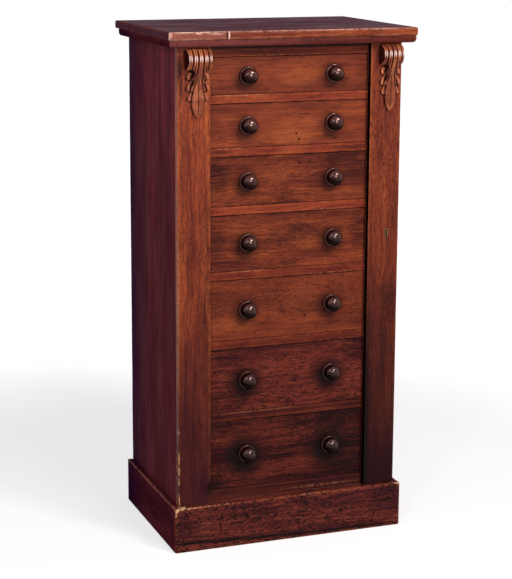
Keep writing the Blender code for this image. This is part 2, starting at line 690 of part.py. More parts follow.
def knob_mesh():
    """Profile of a knob, from the middle of its boss down to the end of its tenon."""
    groove = KNOB_REACH - KNOB_BOSS_RISE
    rim = groove - KNOB_RIM_DROP
    rim_inner = KNOB_BOSS_RADIUS + 2 * KNOB_GROOVE
    lip = (KNOB_RIM_RADIUS - KNOB_LIP / 2, rim - KNOB_LIP)
    profile = quarter((0.0, groove), (KNOB_BOSS_RADIUS, KNOB_BOSS_RISE), (0, 50, 90))
    profile.append((KNOB_BOSS_RADIUS + KNOB_GROOVE, groove - KNOB_GROOVE))
    profile += quarter((rim_inner, rim), (KNOB_RIM_RADIUS - rim_inner, KNOB_RIM_DROP), (0, 45, 90))
    profile.append(lip)
    cove = (lip[0] - KNOB_NECK_RADIUS, (lip[1] - KNOB_FOOT_HEIGHT) * KNOB_COVE_SHARE)
    profile += [(lip[0] - radius, lip[1] - cove[1] + height)
                for radius, height in quarter((0.0, 0.0), cove, (45, 90))]
    profile += [(KNOB_NECK_RADIUS + KNOB_FOOT_ROUND, KNOB_FOOT_HEIGHT),
                (KNOB_FOOT_RADIUS - KNOB_FOOT_ROUND, KNOB_FOOT_HEIGHT),
                (KNOB_FOOT_RADIUS, KNOB_FOOT_HEIGHT - KNOB_FOOT_ROUND), (KNOB_FOOT_RADIUS, 0.0),
                (KNOB_TENON_RADIUS, 0.0), (KNOB_TENON_RADIUS, -KNOB_TENON_LENGTH),
                (0.0, -KNOB_TENON_LENGTH)]
    mesh = bpy.data.meshes.new("turned_knob")
    shape = bmesh.new()
    points = [shape.verts.new((radius, 0, height)) for radius, height in profile]
    for first, second in zip(points, points[1:]):
        shape.edges.new((first, second))
    shape.to_mesh(mesh)
    shape.free()
    return mesh


def quarter(centre, radii, angles):
    """Points of a quarter ellipse, from its top (0 degrees) out to its side (90 degrees)."""
    return [(centre[0] + radii[0] * math.sin(math.radians(angle)),
             centre[1] + radii[1] * math.cos(math.radians(angle))) for angle in angles]


def turn_round(part):
    """Turns a profile about the object's Z axis."""
    modifier = part.modifiers.new("Turned", "SCREW")
    modifier.axis = "Z"
    modifier.angle = 2 * math.pi
    modifier.steps = KNOB_SIDES
    modifier.render_steps = KNOB_SIDES
    modifier.use_merge_vertices = True
    modifier.merge_threshold = 0.0001
    modifier.use_smooth_shade = True


# Locking flap

def make_flap(chest):
    swing = pivot("locking_flap_hinge", HINGE_AXIS, chest)
    flap = box("locking_flap", (STILE_EDGE, HALF_WIDTH), (0, FLAP_BACK),
               (PLINTH_HEIGHT + FLAP_END_GAP, CORNICE_FOOT + GAP - FLAP_END_GAP), MAHOGANY, swing)
    cuts = hinge_recesses("flap", (FLAP_BACK - HINGE_LEAF_THICKNESS - GAP,
                                   FLAP_BACK + HINGE_LEAF_THICKNESS), swing)
    cuts.append(box_cutter("lock_pocket", (KEY_X - CASE_LEFT - GAP, KEY_X + CASE_RIGHT + GAP),
                           (CASE_FRONT - GAP, FLAP_BACK + CASE_WALL),
                           (KEY_HEIGHT - CASE_HALF_HEIGHT - GAP, KEY_HEIGHT + CASE_HALF_HEIGHT + GAP),
                           swing))
    keyway = keyhole_outline(ESCUTCHEON_RADIUS + GAP, ESCUTCHEON_SKIRT_HALF_WIDTH + GAP,
                             ESCUTCHEON_SKIRT + GAP)
    mesh = plate_mesh("flap_keyway", [keyway], CASE_DEPTH, "Y")
    cuts.append(put_cutter(mesh.name, mesh, (KEY_X, 0, KEY_HEIGHT), swing))
    combine(flap, cuts, "DIFFERENCE")
    corbel("corbel_right", HALF_WIDTH - STILE_WIDTH / 2 + RIGHT_CORBEL_SHIFT, 1.0, swing)
    make_escutcheon(swing)
    make_lock(swing)
    make_keep(chest)
    for name, middle in hinge_places():
        carcass_leaf(f"hinge_{name}_carcass_leaf", middle, chest)
        flap_leaf(f"hinge_{name}_flap_leaf", middle, swing)


def hinge_places():
    return (("upper", CORNICE_FOOT - HINGE_FROM_END), ("lower", PLINTH_HEIGHT + HINGE_FROM_END))


def hinge_recesses(name, depth, parent):
    """Cutters for the two places where a leaf is let in flush."""
    recesses = []
    for place, middle in hinge_places():
        reach = HINGE_HEIGHT / 2 + GAP
        recesses.append(box_cutter(f"{name}_recess_{place}",
                                   (HALF_WIDTH - HINGE_LEAF_WIDTH - GAP, HALF_WIDTH + HINGE_LEAF_WIDTH),
                                   depth, (middle - reach, middle + reach), parent))
    return recesses


def knuckle_spans():
    """Heights about the hinge's middle of the lower, middle and upper knuckle."""
    third = HINGE_HEIGHT / 3
    half_gap = HINGE_RUNNING_GAP / 2
    return ((-1.5 * third, -0.5 * third - half_gap), (-0.5 * third + half_gap, 0.5 * third - half_gap),
            (0.5 * third + half_gap, 1.5 * third))


def knuckle(name, span, middle, radius, parent):
    mesh = cylinder_mesh(name, radius, span[1] - span[0], "Z", HINGE_KNUCKLE_SIDES)
    return put_cutter(name, mesh, HINGE_AXIS + Vector((0, 0, middle + sum(span) / 2)), parent)


def leaf_tab(name, y, span, middle, parent):
    """Bit of a leaf that joins its plate to one knuckle."""
    return box_cutter(name, (HALF_WIDTH - HINGE_LEAF_THICKNESS, HINGE_AXIS.x), y,
                      (middle + span[0] + GAP, middle + span[1] - GAP), parent)


def carcass_leaf(name, middle, chest):
    """Leaf in the front edge of the side, with the outer knuckles and the pin."""
    y = (FRAME_FRONT, FRAME_FRONT + HINGE_LEAF_THICKNESS)
    leaf = box(name, (HALF_WIDTH - HINGE_LEAF_WIDTH, HALF_WIDTH - GAP), y,
               (middle - HINGE_HEIGHT / 2, middle + HINGE_HEIGHT / 2), BRASS, chest)
    lower, _, upper = knuckle_spans()
    pieces = []
    for place, span in (("lower", lower), ("upper", upper)):
        pieces.append(leaf_tab(f"{name}_{place}_tab", y, span, middle, chest))
        pieces.append(knuckle(f"{name}_{place}_knuckle", span, middle, HINGE_KNUCKLE_RADIUS, chest))
    pin_span = (lower[0] + GAP, upper[1] - GAP)
    pieces.append(knuckle(name + "_pin", pin_span, middle, HINGE_PIN_RADIUS, chest))
    combine(leaf, pieces, "UNION")


def flap_leaf(name, middle, swing):
    """Leaf in the back of the flap, with the middle knuckle bored for the pin."""
    y = (FLAP_BACK - HINGE_LEAF_THICKNESS, FLAP_BACK)
    leaf = box(name, (HALF_WIDTH - HINGE_LEAF_WIDTH, HALF_WIDTH - GAP), y,
               (middle - HINGE_HEIGHT / 2, middle + HINGE_HEIGHT / 2), BRASS, swing)
    span = knuckle_spans()[1]
    combine(leaf, [leaf_tab(name + "_tab", y, span, middle, swing),
                   knuckle(name + "_knuckle", span, middle, HINGE_KNUCKLE_RADIUS, swing)], "UNION")
    bore = (span[0] - HINGE_LEAF_THICKNESS, span[1] + HINGE_LEAF_THICKNESS)
    combine(leaf, [knuckle(name + "_bore", bore, middle, HINGE_PIN_RADIUS + HINGE_RUNNING_GAP, swing)],
            "DIFFERENCE")


def keyhole_outline(radius, half_width, drop):
    """Keyhole about the key's pin, in XZ: a round head over a straight skirt."""
    start = math.degrees(math.acos(half_width / radius))
    head = arc((0, 0), radius, -start, 180 + start, 12)
    return head + [(-half_width, -drop), (half_width, -drop)]


def make_escutcheon(swing):
    """Thin liner round the keyhole, let into the flap and a hair proud of it."""
    outer = keyhole_outline(ESCUTCHEON_RADIUS, ESCUTCHEON_SKIRT_HALF_WIDTH, ESCUTCHEON_SKIRT)
    inner = keyhole_outline(ESCUTCHEON_RADIUS - ESCUTCHEON_WALL,
                            ESCUTCHEON_SKIRT_HALF_WIDTH - ESCUTCHEON_WALL,
                            ESCUTCHEON_SKIRT - ESCUTCHEON_WALL)
    mesh = plate_mesh("escutcheon", [outer, inner], ESCUTCHEON_LENGTH, "Y")
    put("escutcheon", mesh, (KEY_X, ESCUTCHEON_LENGTH / 2 - ESCUTCHEON_PROUD, KEY_HEIGHT), BRASS, swing)


def make_lock(swing):
    """Lock case let into the back of the flap, and the bolt that slides up inside it."""
    x = (KEY_X - CASE_LEFT, KEY_X + CASE_RIGHT)
    y = (CASE_FRONT, CASE_FRONT + CASE_DEPTH)
    z = (KEY_HEIGHT - CASE_HALF_HEIGHT, KEY_HEIGHT + CASE_HALF_HEIGHT)
    case = box("lock_case", x, y, z, STEEL, swing)
    room = box_cutter("lock_room", *[(low + CASE_WALL, high - CASE_WALL) for low, high in (x, y, z)], swing)
    inner = keyhole_outline(ESCUTCHEON_RADIUS - ESCUTCHEON_WALL,
                            ESCUTCHEON_SKIRT_HALF_WIDTH - ESCUTCHEON_WALL,
                            ESCUTCHEON_SKIRT - ESCUTCHEON_WALL)
    mesh = plate_mesh("case_keyway", [inner], 2 * CASE_WALL, "Y")
    keyway = put_cutter(mesh.name, mesh, (KEY_X, CASE_FRONT, KEY_HEIGHT), swing)
    keep_low, keep_high = keep_span()
    slot = box_cutter("case_slot", keep_sides(KEEP_SWING_GAP), (y[1] - 2 * CASE_WALL, y[1] + CASE_WALL),
                      (keep_low - KEEP_BOLT_GAP, keep_high + KEEP_BOLT_GAP), swing)
    combine(case, [room, keyway, slot], "DIFFERENCE")
    make_bolt(swing)


def make_bolt(swing):
    """Flat bolt with a talon for the key's bit and a finger that enters the keep."""
    left = -CASE_LEFT + CASE_WALL + GAP
    right = CASE_RIGHT - CASE_WALL - GAP
    finger = (-BOLT_FINGER_OFFSET - BOLT_FINGER_WIDTH / 2, -BOLT_FINGER_OFFSET + BOLT_FINGER_WIDTH / 2)
    talon = BOLT_TALON_WIDTH / 2
    outline = [(left, -BOLT_BOTTOM), (right, -BOLT_BOTTOM), (right, -BOLT_TOP), (talon, -BOLT_TOP),
               (talon, -BOLT_TOP - BOLT_TALON_DEPTH), (-talon, -BOLT_TOP - BOLT_TALON_DEPTH),
               (-talon, -BOLT_TOP), (finger[1], -BOLT_TOP), (finger[1], BOLT_FINGER_TOP),
               (finger[0], BOLT_FINGER_TOP), (finger[0], -BOLT_TOP), (left, -BOLT_TOP)]
    mesh = plate_mesh("lock_bolt", [outline], BOLT_THICKNESS, "Y")
    place = (KEY_X, BOLT_BACK - BOLT_THICKNESS / 2, KEY_HEIGHT)
    slide = pivot("lock_bolt_slide", place, swing)
    put("lock_bolt", mesh, place, STEEL, slide)


def keep_span():
    """Low and high of the keep's staple."""
    return (KEY_HEIGHT + KEEP_RISE, KEY_HEIGHT + KEEP_RISE + KEEP_THICKNESS)


def keep_sides(extra):
    middle = KEY_X - BOLT_FINGER_OFFSET
    return (middle - KEEP_WIDTH / 2 - extra, middle + KEEP_WIDTH / 2 + extra)


def keep_plate(extra):
    """Sides and height of the keep's plate on the post, larger by extra for its recess."""
    middle_x = KEY_X - BOLT_FINGER_OFFSET
    middle_z = sum(keep_span()) / 2
    half_width = KEEP_PLATE_HALF_WIDTH + extra
    half_height = KEEP_PLATE_HALF_HEIGHT + extra
    return ((middle_x - half_width, middle_x + half_width),
            (middle_z - half_height, middle_z + half_height))


def keep_recess(chest):
    x, z = keep_plate(GAP)
    y = (FRONT_RECESS - GAP, FRAME_FRONT + KEEP_PLATE_THICKNESS + GAP)
    return box_cutter("keep_recess", x, y, z, chest)


def make_keep(chest):
    """Plate on the post with a staple that stands forward into the lock."""
    x, z = keep_plate(0.0)
    keep = box("lock_keep", x, (FRAME_FRONT, FRAME_FRONT + KEEP_PLATE_THICKNESS), z, BRASS, chest)
    staple = box_cutter("keep_staple", keep_sides(0.0),
                        (FRONT_RECESS - KEEP_REACH, FRAME_FRONT + KEEP_PLATE_THICKNESS / 2),
                        keep_span(), chest)
    combine(keep, [staple], "UNION")
    finger = BOLT_FINGER_WIDTH / 2 + KEEP_BOLT_GAP
    middle = KEY_X - BOLT_FINGER_OFFSET
    low, high = keep_span()
    window = box_cutter("keep_window", (middle - finger, middle + finger),
                        (FRONT_RECESS - KEEP_REACH + KEEP_BAR, BOLT_BACK + KEEP_BOLT_GAP),
                        (low - KEEP_THICKNESS, high + KEEP_THICKNESS), chest)
    combine(keep, [window], "DIFFERENCE")


def make_chest():
    chest = pivot("wellington_chest", (0, 0, 0))
    make_sides(chest)
    make_back_and_base(chest)
    make_top(chest)
    make_cornice(chest)
    make_plinth(chest)
    make_rails(chest)
    make_pilaster(chest)
    make_drawers(chest)
    make_flap(chest)


make_chest()
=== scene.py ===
"""Looks of the wellington chest: old mahogany over its fixed frame.

Metres, +Z up, front towards -Y. Boards and mouldings are copies of the frame's solids with worn
arrises, and the knobs and carved corbels are drawn again more finely in the places of the plain ones.
"""
import json
import math
from types import SimpleNamespace

import bmesh
import bpy
from mathutils import Matrix, Vector, noise

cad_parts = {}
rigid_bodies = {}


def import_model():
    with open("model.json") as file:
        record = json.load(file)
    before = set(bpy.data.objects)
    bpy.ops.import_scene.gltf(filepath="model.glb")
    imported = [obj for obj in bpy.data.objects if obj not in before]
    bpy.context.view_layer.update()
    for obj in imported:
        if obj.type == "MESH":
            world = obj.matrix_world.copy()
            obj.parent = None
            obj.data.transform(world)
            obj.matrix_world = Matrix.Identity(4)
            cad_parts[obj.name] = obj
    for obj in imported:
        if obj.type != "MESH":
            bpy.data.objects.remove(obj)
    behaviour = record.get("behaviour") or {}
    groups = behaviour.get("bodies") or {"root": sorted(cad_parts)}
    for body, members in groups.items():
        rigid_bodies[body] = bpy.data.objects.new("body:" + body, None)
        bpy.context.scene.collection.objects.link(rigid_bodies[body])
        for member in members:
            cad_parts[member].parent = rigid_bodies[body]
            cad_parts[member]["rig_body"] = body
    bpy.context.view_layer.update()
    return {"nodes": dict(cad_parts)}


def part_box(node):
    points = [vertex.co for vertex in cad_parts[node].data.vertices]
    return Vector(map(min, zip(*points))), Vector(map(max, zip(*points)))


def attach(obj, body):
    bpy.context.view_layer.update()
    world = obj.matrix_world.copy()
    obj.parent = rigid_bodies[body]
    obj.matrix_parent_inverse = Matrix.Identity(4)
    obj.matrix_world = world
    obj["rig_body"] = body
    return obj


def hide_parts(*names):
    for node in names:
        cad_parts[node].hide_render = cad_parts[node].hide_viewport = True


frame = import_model()
NODES = frame["nodes"]
DRAWERS = range(1, 8)
SIDES = ("left", "right")
CHEST_HEIGHT = 1.25

# Camera, fitted to the photograph's corners. The image is 512 by 579 pixels.
IMAGE_HEIGHT = 579
CAMERA_PLACE = (-1.4481, -3.8256, 1.5194)
# Degrees of yaw, pitch and roll
CAMERA_TURN = (20.52, 11.26, -0.29)
CAMERA_FOCAL_PIXELS = 1669.1
CAMERA_SHIFT = -0.08

# Floor and surroundings. Seen directly they glow nearly white, and they light the chest less.
FLOOR_HALF_SIZE = 14.0
# Distances over which the floor's glow changes, and its strength at each
FLOOR_GLOW = (0.9, 2.2, 0.65, 0.98)
FLOOR_COLOUR = (0.45, 0.436, 0.426)
WORLD_STRENGTH = 0.3
WORLD_COLOUR = (0.93, 0.9, 1.0)
WHITE = (1.0, 1.0, 1.0)

# Lamps: name, place, what it points at, width, height, watts, colour
LAMPS = (
    ("key", (1.2, -2.75, 3.05), (0.05, -0.2, 0.8), 0.75, 0.75, 79.0, (1.0, 0.97, 0.94)),
    ("front", (0.45, -3.3, 1.6), (0.0, -0.2, 0.75), 0.7, 1.1, 38.0, (1.0, 0.97, 0.94)),
    ("side", (-3.2, -0.7, 1.5), (-0.28, 0.0, 0.6), 1.2, 1.8, 16.0, (0.9, 0.82, 1.0)),
    ("spark", (-1.9, -2.6, 2.6), (0.0, -0.1, 0.8), 0.45, 0.45, 25.0, (0.97, 0.94, 1.0)),
)

# Colours of the wood, linear
DEEP = (0.016, 0.003, 0.0052)
DARK = (0.062, 0.0105, 0.0095)
MIDDLE = (0.16, 0.0305, 0.0145)
WARM = (0.25, 0.05, 0.018)
GLOW = (0.38, 0.095, 0.029)
RED_DARK = (0.042, 0.0058, 0.008)
RED_MIDDLE = (0.125, 0.0205, 0.0145)
RED_WARM = (0.215, 0.038, 0.021)
RED_GLOW = (0.33, 0.074, 0.033)
SIDE_DARK = (0.05, 0.0085, 0.014)
SIDE_WARM = (0.225, 0.042, 0.04)
TOP_DARK = (0.055, 0.016, 0.026)
PALE = (0.62, 0.33, 0.17)
# Worn polish on the carving's ribs, painted as a highlight
BALD_HIGHLIGHT = (0.92, 0.66, 0.57)
INK = (0.006, 0.003, 0.003)
VIOLET = (0.02, 0.0035, 0.023)
BLUSH = (0.39, 0.155, 0.115)
PINE_DUST = (0.075, 0.045, 0.028)
PINE_ARRIS = (0.1, 0.055, 0.03)

# Sets of colours, from the darkest grain to the brightest
BROWNS = (DARK, MIDDLE, WARM, GLOW)
REDS = (RED_DARK, RED_MIDDLE, RED_WARM, RED_GLOW)
LOW_DRAWER_COLOURS = (RED_DARK, RED_MIDDLE, RED_WARM, (0.25, 0.045, 0.028))
RAIL_COLOURS = (DARK, (0.15, 0.024, 0.015), (0.26, 0.044, 0.019), (0.39, 0.082, 0.03))
# The top's purple-grey colours also hold part of the sheen of its polish, seen at a low angle: painted
# sheen
TOP_AND_SHEEN_COLOURS = (TOP_DARK, (0.085, 0.026, 0.038), (0.12, 0.04, 0.048), WARM)
PINE_COLOURS = ((0.2, 0.105, 0.045), (0.36, 0.21, 0.1), (0.5, 0.33, 0.18))
BACK_PINE_COLOURS = ((0.06, 0.03, 0.016), (0.13, 0.07, 0.034), (0.24, 0.14, 0.072))
# Looks that the side boards, side plinths and side mouldings share. Their tint to violet towards the back
# is painted shade
SIDE_LOOK = {"colours": (SIDE_DARK, (0.122, 0.021, 0.027), SIDE_WARM, WARM), "soot": SIDE_DARK,
             "pale": SIDE_WARM, "tint": (VIOLET, "Y", 0.02, 0.2, 0.8)}

# Places of the grain's colours along its ramp, and of the pine's
WOOD_STOPS = (0.1, 0.4, 0.66, 0.95)
PINE_STOPS = (0.3, 0.55, 0.78)

# Blots are (x, z, half width, half height, strength), placed where the photograph has them
# The band at 1.214 is painted shadow under the cornice, and the one at 1.15 painted shade beside the corbel
STILE_STAINS_AND_SHADE = (
    (-0.21, 0.16, 0.05, 0.06, 1.0), (-0.205, 0.7, 0.012, 0.5, 0.5), (-0.25, 0.3, 0.05, 0.1, 0.3),
    (-0.24, 1.214, 0.1, 0.012, 0.9), (-0.277, 1.15, 0.014, 0.08, 1.0),
)
STILE_MARKS = ((-0.2035, 0.15, 0.016, 0.026, 0.9),)
# The long chip up the stile's left arris is also a painted highlight
STILE_CHIPS_AND_HIGHLIGHT = (
    (-0.2825, 0.232, 0.007, 0.022, 1.0), (-0.2825, 0.203, 0.007, 0.018, 1.0),
    (-0.2825, 0.175, 0.006, 0.012, 0.9), (-0.2825, 0.128, 0.007, 0.022, 0.9),
    (-0.2825, 0.3, 0.005, 0.01, 0.6), (-0.2825, 0.62, 0.003, 0.3, 0.35),
)
SIDE_PLINTH_CHIPS = ((-0.2955, 0.111, 0.02, 0.008, 0.3), (0.2955, 0.111, 0.02, 0.008, 0.3))
PLINTH_STAINS = (
    (-0.27, 0.05, 0.05, 0.05, 0.8), (0.26, 0.07, 0.09, 0.06, 0.9), (-0.1, 0.085, 0.16, 0.02, 0.6),
    (0.12, 0.08, 0.16, 0.024, 0.7), (0.0, 0.02, 0.4, 0.01, 0.7), (0.02, 0.045, 0.1, 0.014, 0.6),
)
# A crack runs along the foot of the plinth, with shorter ones above it
PLINTH_CRACKS = (
    (-0.25, 0.0225, 0.095, 0.006, 1.0), (-0.16, 0.018, 0.095, 0.006, 1.0),
    (-0.07, 0.014, 0.095, 0.0058, 1.0), (0.02, 0.011, 0.095, 0.0056, 1.0),
    (0.11, 0.0095, 0.095, 0.0054, 1.0), (0.2, 0.0092, 0.11, 0.0054, 1.0),
    (-0.14, 0.06, 0.03, 0.0034, 0.9), (-0.06, 0.074, 0.039, 0.0037, 0.9),
    (0.03, 0.066, 0.024, 0.0044, 0.8),
)
PLINTH_CHIPS = (
    (-0.292, 0.109, 0.014, 0.008, 1.0), (-0.26, 0.111, 0.05, 0.004, 0.8),
    (-0.19, 0.111, 0.05, 0.003, 0.6), (0.285, 0.111, 0.018, 0.004, 0.9), (0.05, 0.111, 0.1, 0.002, 0.4),
)
PLINTH_SCARS = (
    (-0.285, 0.1105, 0.03, 0.0045, 1.0), (-0.2946, 0.1035, 0.0045, 0.018, 1.0),
    (-0.292, 0.1085, 0.011, 0.008, 1.0), (0.294, 0.11, 0.012, 0.006, 0.9),
)
# The long band at 1.212 is painted shadow under the cornice
RAIL_MARKS_AND_SHADOW = ((0.0, 1.212, 1.5, 0.01, 1.0), (0.02, 0.13, 0.22, 0.003, 0.7))
RAIL_STAINS = (
    (-0.17, 0.13, 0.06, 0.01, 0.9), (0.17, 0.13, 0.08, 0.012, 0.9), (0.15, 0.965, 0.05, 0.014, 0.6),
    (-0.17, 0.965, 0.03, 0.014, 0.5), (-0.19, 0.32, 0.05, 0.014, 0.8), (0.17, 0.32, 0.06, 0.014, 0.9),
)
# Light lines along the rails' upper arrises: worn, and painted highlight
RAIL_CHIPS_AND_HIGHLIGHTS = (
    (-0.08, 0.3292, 0.15, 0.0032, 0.28), (0.1, 0.1203, 0.13, 0.004, 0.35),
    (-0.12, 1.0988, 0.1, 0.004, 0.5), (-0.05, 1.188, 0.2, 0.004, 0.25), (-0.1, 0.6778, 0.08, 0.004, 0.4),
    (0.12, 0.6582, 0.08, 0.004, 0.4), (-0.15, 0.9738, 0.05, 0.004, 0.5), (0.1, 0.8152, 0.08, 0.004, 0.4),
)
RAIL_LIGHTS = ((0.01, 0.965, 0.05, 0.02, 0.6), (-0.1, 1.09, 0.1, 0.02, 0.5))
# Light patches near the fascia's top arris, partly painted highlight
FASCIA_LIGHTS_AND_HIGHLIGHTS = (
    (-0.285, 1.2455, 0.026, 0.005, 0.6), (-0.24, 1.246, 0.013, 0.004, 0.9),
    (-0.2, 1.2475, 0.03, 0.003, 0.7), (-0.307, 1.24, 0.006, 0.012, 0.8), (0.12, 1.247, 0.16, 0.003, 0.3),
)
FASCIA_MARKS = ((-0.1716, 1.2405, 0.0028, 0.02, 1.0), (0.1, 1.2335, 0.2, 0.002, 0.6))
# Light lines along the fascia's arrises and left end: worn, and painted highlight
FASCIA_CHIPS_AND_HIGHLIGHTS = (
    (-0.24, 1.2502, 0.11, 0.0052, 1.0), (-0.311, 1.2405, 0.006, 0.018, 1.0),
    (-0.05, 1.2502, 0.18, 0.004, 0.45), (0.16, 1.2502, 0.16, 0.004, 0.5),
    (-0.26, 1.2308, 0.08, 0.004, 0.8),
)
FASCIA_SCARS = ((-0.1664, 1.2405, 0.0026, 0.018, 1.0),)
# The band at 1.212 is painted shadow under the cornice
FLAP_STAINS_AND_SHADOW = ((0.24, 0.14, 0.08, 0.13, 1.0), (0.24, 1.212, 0.1, 0.012, 0.9), (0.25, 0.44, 0.03, 0.12, 0.5))
# A pit below the keyhole, and painted shade along the edge beside the drawers
FLAP_MARKS_AND_SHADE = ((0.2645, 0.878, 0.003, 0.0034, 0.9), (0.203, 0.22, 0.016, 0.62, 0.95))
# Joints between the planks of the back
BACK_JOINTS = tuple((x, 0.6, 0.0016, 6.0, 0.95) for x in (-0.132, 0.004, 0.141))

# Each drawer front from the top: tone, brightness, contrast, mottle, streak, dashes. The brightness is
# partly painted shade, lower towards the floor
DRAWER_LOOKS = (
    (0.48, 0.94, 1.0, 0.3, 0.4, 0.2),
    (0.5, 0.98, 1.0, 0.25, 0.4, 0.2),
    (0.47, 0.9, 1.5, 0.55, 0.65, 0.4),
    (0.48, 0.9, 1.5, 0.5, 0.65, 0.4),
    (0.5, 0.9, 1.0, 0.3, 0.5, 0.35),
    (0.5, 0.74, 1.7, 0.7, 0.9, 0.65),
    (0.48, 0.56, 2.2, 0.85, 1.0, 0.75),
)
LAST_BROWN_DRAWER = 5
# The long thin stain along the top of drawers 1 to 6 is painted shade under the rail above
DRAWER_STAINS_AND_SHADE = (
    ((0.15, 1.1245, 0.034, 0.005, 0.9), (0.0, 1.183, 0.3, 0.008, 0.3), (0.19, 1.14, 0.03, 0.06, 0.4)),
    ((-0.19, 1.03, 0.03, 0.05, 0.4), (0.0, 1.074, 0.3, 0.008, 0.3), (0.12, 0.99, 0.1, 0.012, 0.4)),
    ((-0.187, 0.905, 0.05, 0.07, 0.9), (0.175, 0.915, 0.06, 0.06, 0.8), (0.0, 0.948, 0.3, 0.01, 0.5),
     (0.03, 0.86, 0.08, 0.012, 0.5)),
    ((-0.19, 0.76, 0.05, 0.07, 0.7), (0.18, 0.77, 0.04, 0.07, 0.7), (0.0, 0.81, 0.3, 0.01, 0.5),
     (0.05, 0.72, 0.12, 0.012, 0.5)),
    ((-0.19, 0.6, 0.03, 0.07, 0.4), (0.18, 0.55, 0.04, 0.05, 0.4), (0.0, 0.654, 0.3, 0.008, 0.3)),
    ((0.144, 0.338, 0.05, 0.012, 1.0), (-0.15, 0.465, 0.07, 0.03, 0.8), (0.17, 0.45, 0.06, 0.04, 0.7),
     (-0.19, 0.36, 0.04, 0.04, 0.6), (0.0, 0.485, 0.3, 0.01, 0.8)),
    ((-0.02, 0.206, 0.05, 0.016, 0.8), (0.165, 0.205, 0.13, 0.1, 1.0), (-0.19, 0.155, 0.05, 0.035, 1.0),
     (-0.18, 0.29, 0.06, 0.03, 0.8), (0.08, 0.29, 0.14, 0.016, 0.8), (-0.17, 0.3, 0.05, 0.02, 0.8),
     (0.02, 0.15, 0.16, 0.008, 0.7)),
)
DRAWER_LIGHTS = (
    ((0.02, 1.135, 0.07, 0.03, 0.35),),
    ((0.0, 1.0, 0.1, 0.03, 0.55), (0.03, 1.03, 0.09, 0.03, 0.3)),
    ((-0.02, 0.905, 0.08, 0.03, 0.25),),
    ((0.0, 0.75, 0.09, 0.03, 0.25),),
    ((-0.14, 0.55, 0.1, 0.03, 0.25), (0.02, 0.6, 0.1, 0.04, 0.25)),
    ((0.0, 0.44, 0.1, 0.03, 0.2),),
    ((-0.05, 0.26, 0.12, 0.03, 0.2), (0.0, 0.17, 0.12, 0.02, 0.25)),
)
DRAWER_MARKS = (
    (),
    ((0.0187, 1.0028, 0.0042, 0.0048, 1.0), (0.0254, 0.9883, 0.0045, 0.0044, 1.0),
     (0.0407, 1.048, 0.024, 0.0027, 0.7), (0.118, 0.988, 0.0135, 0.0037, 0.8)),
    ((0.0281, 0.9318, 0.0051, 0.0051, 0.9), (0.0546, 0.9331, 0.0051, 0.0044, 0.9),
     (0.06, 0.9, 0.018, 0.0031, 0.6)),
    ((0.031, 0.77, 0.0045, 0.0051, 0.8), (-0.06, 0.745, 0.0045, 0.0048, 0.6)),
    ((0.045, 0.558, 0.0042, 0.0068, 0.9), (-0.02, 0.612, 0.0045, 0.0037, 0.6),
     (0.13, 0.535, 0.015, 0.0031, 0.7)),
    ((-0.085, 0.41, 0.018, 0.0034, 0.8), (0.02, 0.395, 0.015, 0.0044, 0.8),
     (0.05, 0.36, 0.021, 0.0034, 0.7)),
    ((-0.05, 0.235, 0.018, 0.0037, 0.8), (0.04, 0.265, 0.021, 0.0037, 0.7),
     (-0.2, 0.148, 0.016, 0.014, 0.9)),
)
# Dirt and painted shadow on each drawer around its knobs, lying left of and below them: half size and
# strength, and how far it lies off them
KNOB_GRIME_AND_SHADOWS = (
    (0.047, 0.6), (0.047, 0.6), (0.048, 0.7), (0.05, 0.75), (0.05, 0.7), (0.062, 0.95), (0.075, 1.0),
)
KNOB_SHADOW_LEFT = 0.006
KNOB_SHADOW_DOWN = 0.007

# Knobs of one lustre: the drawers, and how strong the polish is
KNOB_GROUPS = (((1, 2), 1.0), ((3, 4, 5), 0.85), ((6, 7), 0.7))
KNOB_SHEEN = (1.0, 0.62, 0.56)
# Brightness of the knob heads by height: painted shade, darker on the lower drawers
KNOB_SHADE = ((0.0, 0.04), (0.5, 0.12), (0.9, 0.28), (1.25, 0.45))
# A head is painted lit above and in painted shade below, in lit and shaded copies of its wood: bands that
# follow how far its surface faces up, towards the light
KNOB_LIGHT_BANDS = 7
KNOB_TOWARDS_LIGHT = Vector((0.25, 0.0, 0.97))
KNOB_SHADED_FACING = -0.25
KNOB_LIT_FACING = 0.4
# How far a knob stands off its drawer, and how much of that is foot and waist
KNOB_STAND = 0.031
KNOB_FOOT = 0.015
KNOB_SIDES = 56
# Arcs of a knob's profile from its crown down: centre, radii, first and last angle, number of steps.
# They are the crown, the head below a fine ring, the waist, the bead and the foot.
KNOB_ARCS = (
    ((0, 0.0237), (0.0154, 0.0073), 90, 16, 20),
    ((0.0115, 0.019), (0.007, 0.007), 60, -62, 18),
    ((0.0175, 0.0092), (0.0071, 0.0048), 118, 178, 6),
    ((0.0125, 0.0072), (0.0021, 0.0016), 180, 250, 4),
    ((0.019, 0.0034), (0.0033, 0.0027), 110, 0, 9),
)
KNOB_TENON = ((0.0223, 0.0), (0.0055, 0.0), (0.0055, -0.012), (0.0, -0.012))

# Carved corbels. Sizes are from the middle of the top edge, x across and drop downwards, for a
# corbel of plain width.
CORBEL_ROWS = 230
CORBEL_COLUMNS = 120
PLAIN_HALF_WIDTH = 0.0284
CHEEK = 0.0262
ROLL_MIDDLE = 0.025
ROLL_RADIUS = 0.0252
ROLL_EDGE_DEPTH = 0.008
ROLL_END = 0.05
STEM_DEPTH = 0.0098
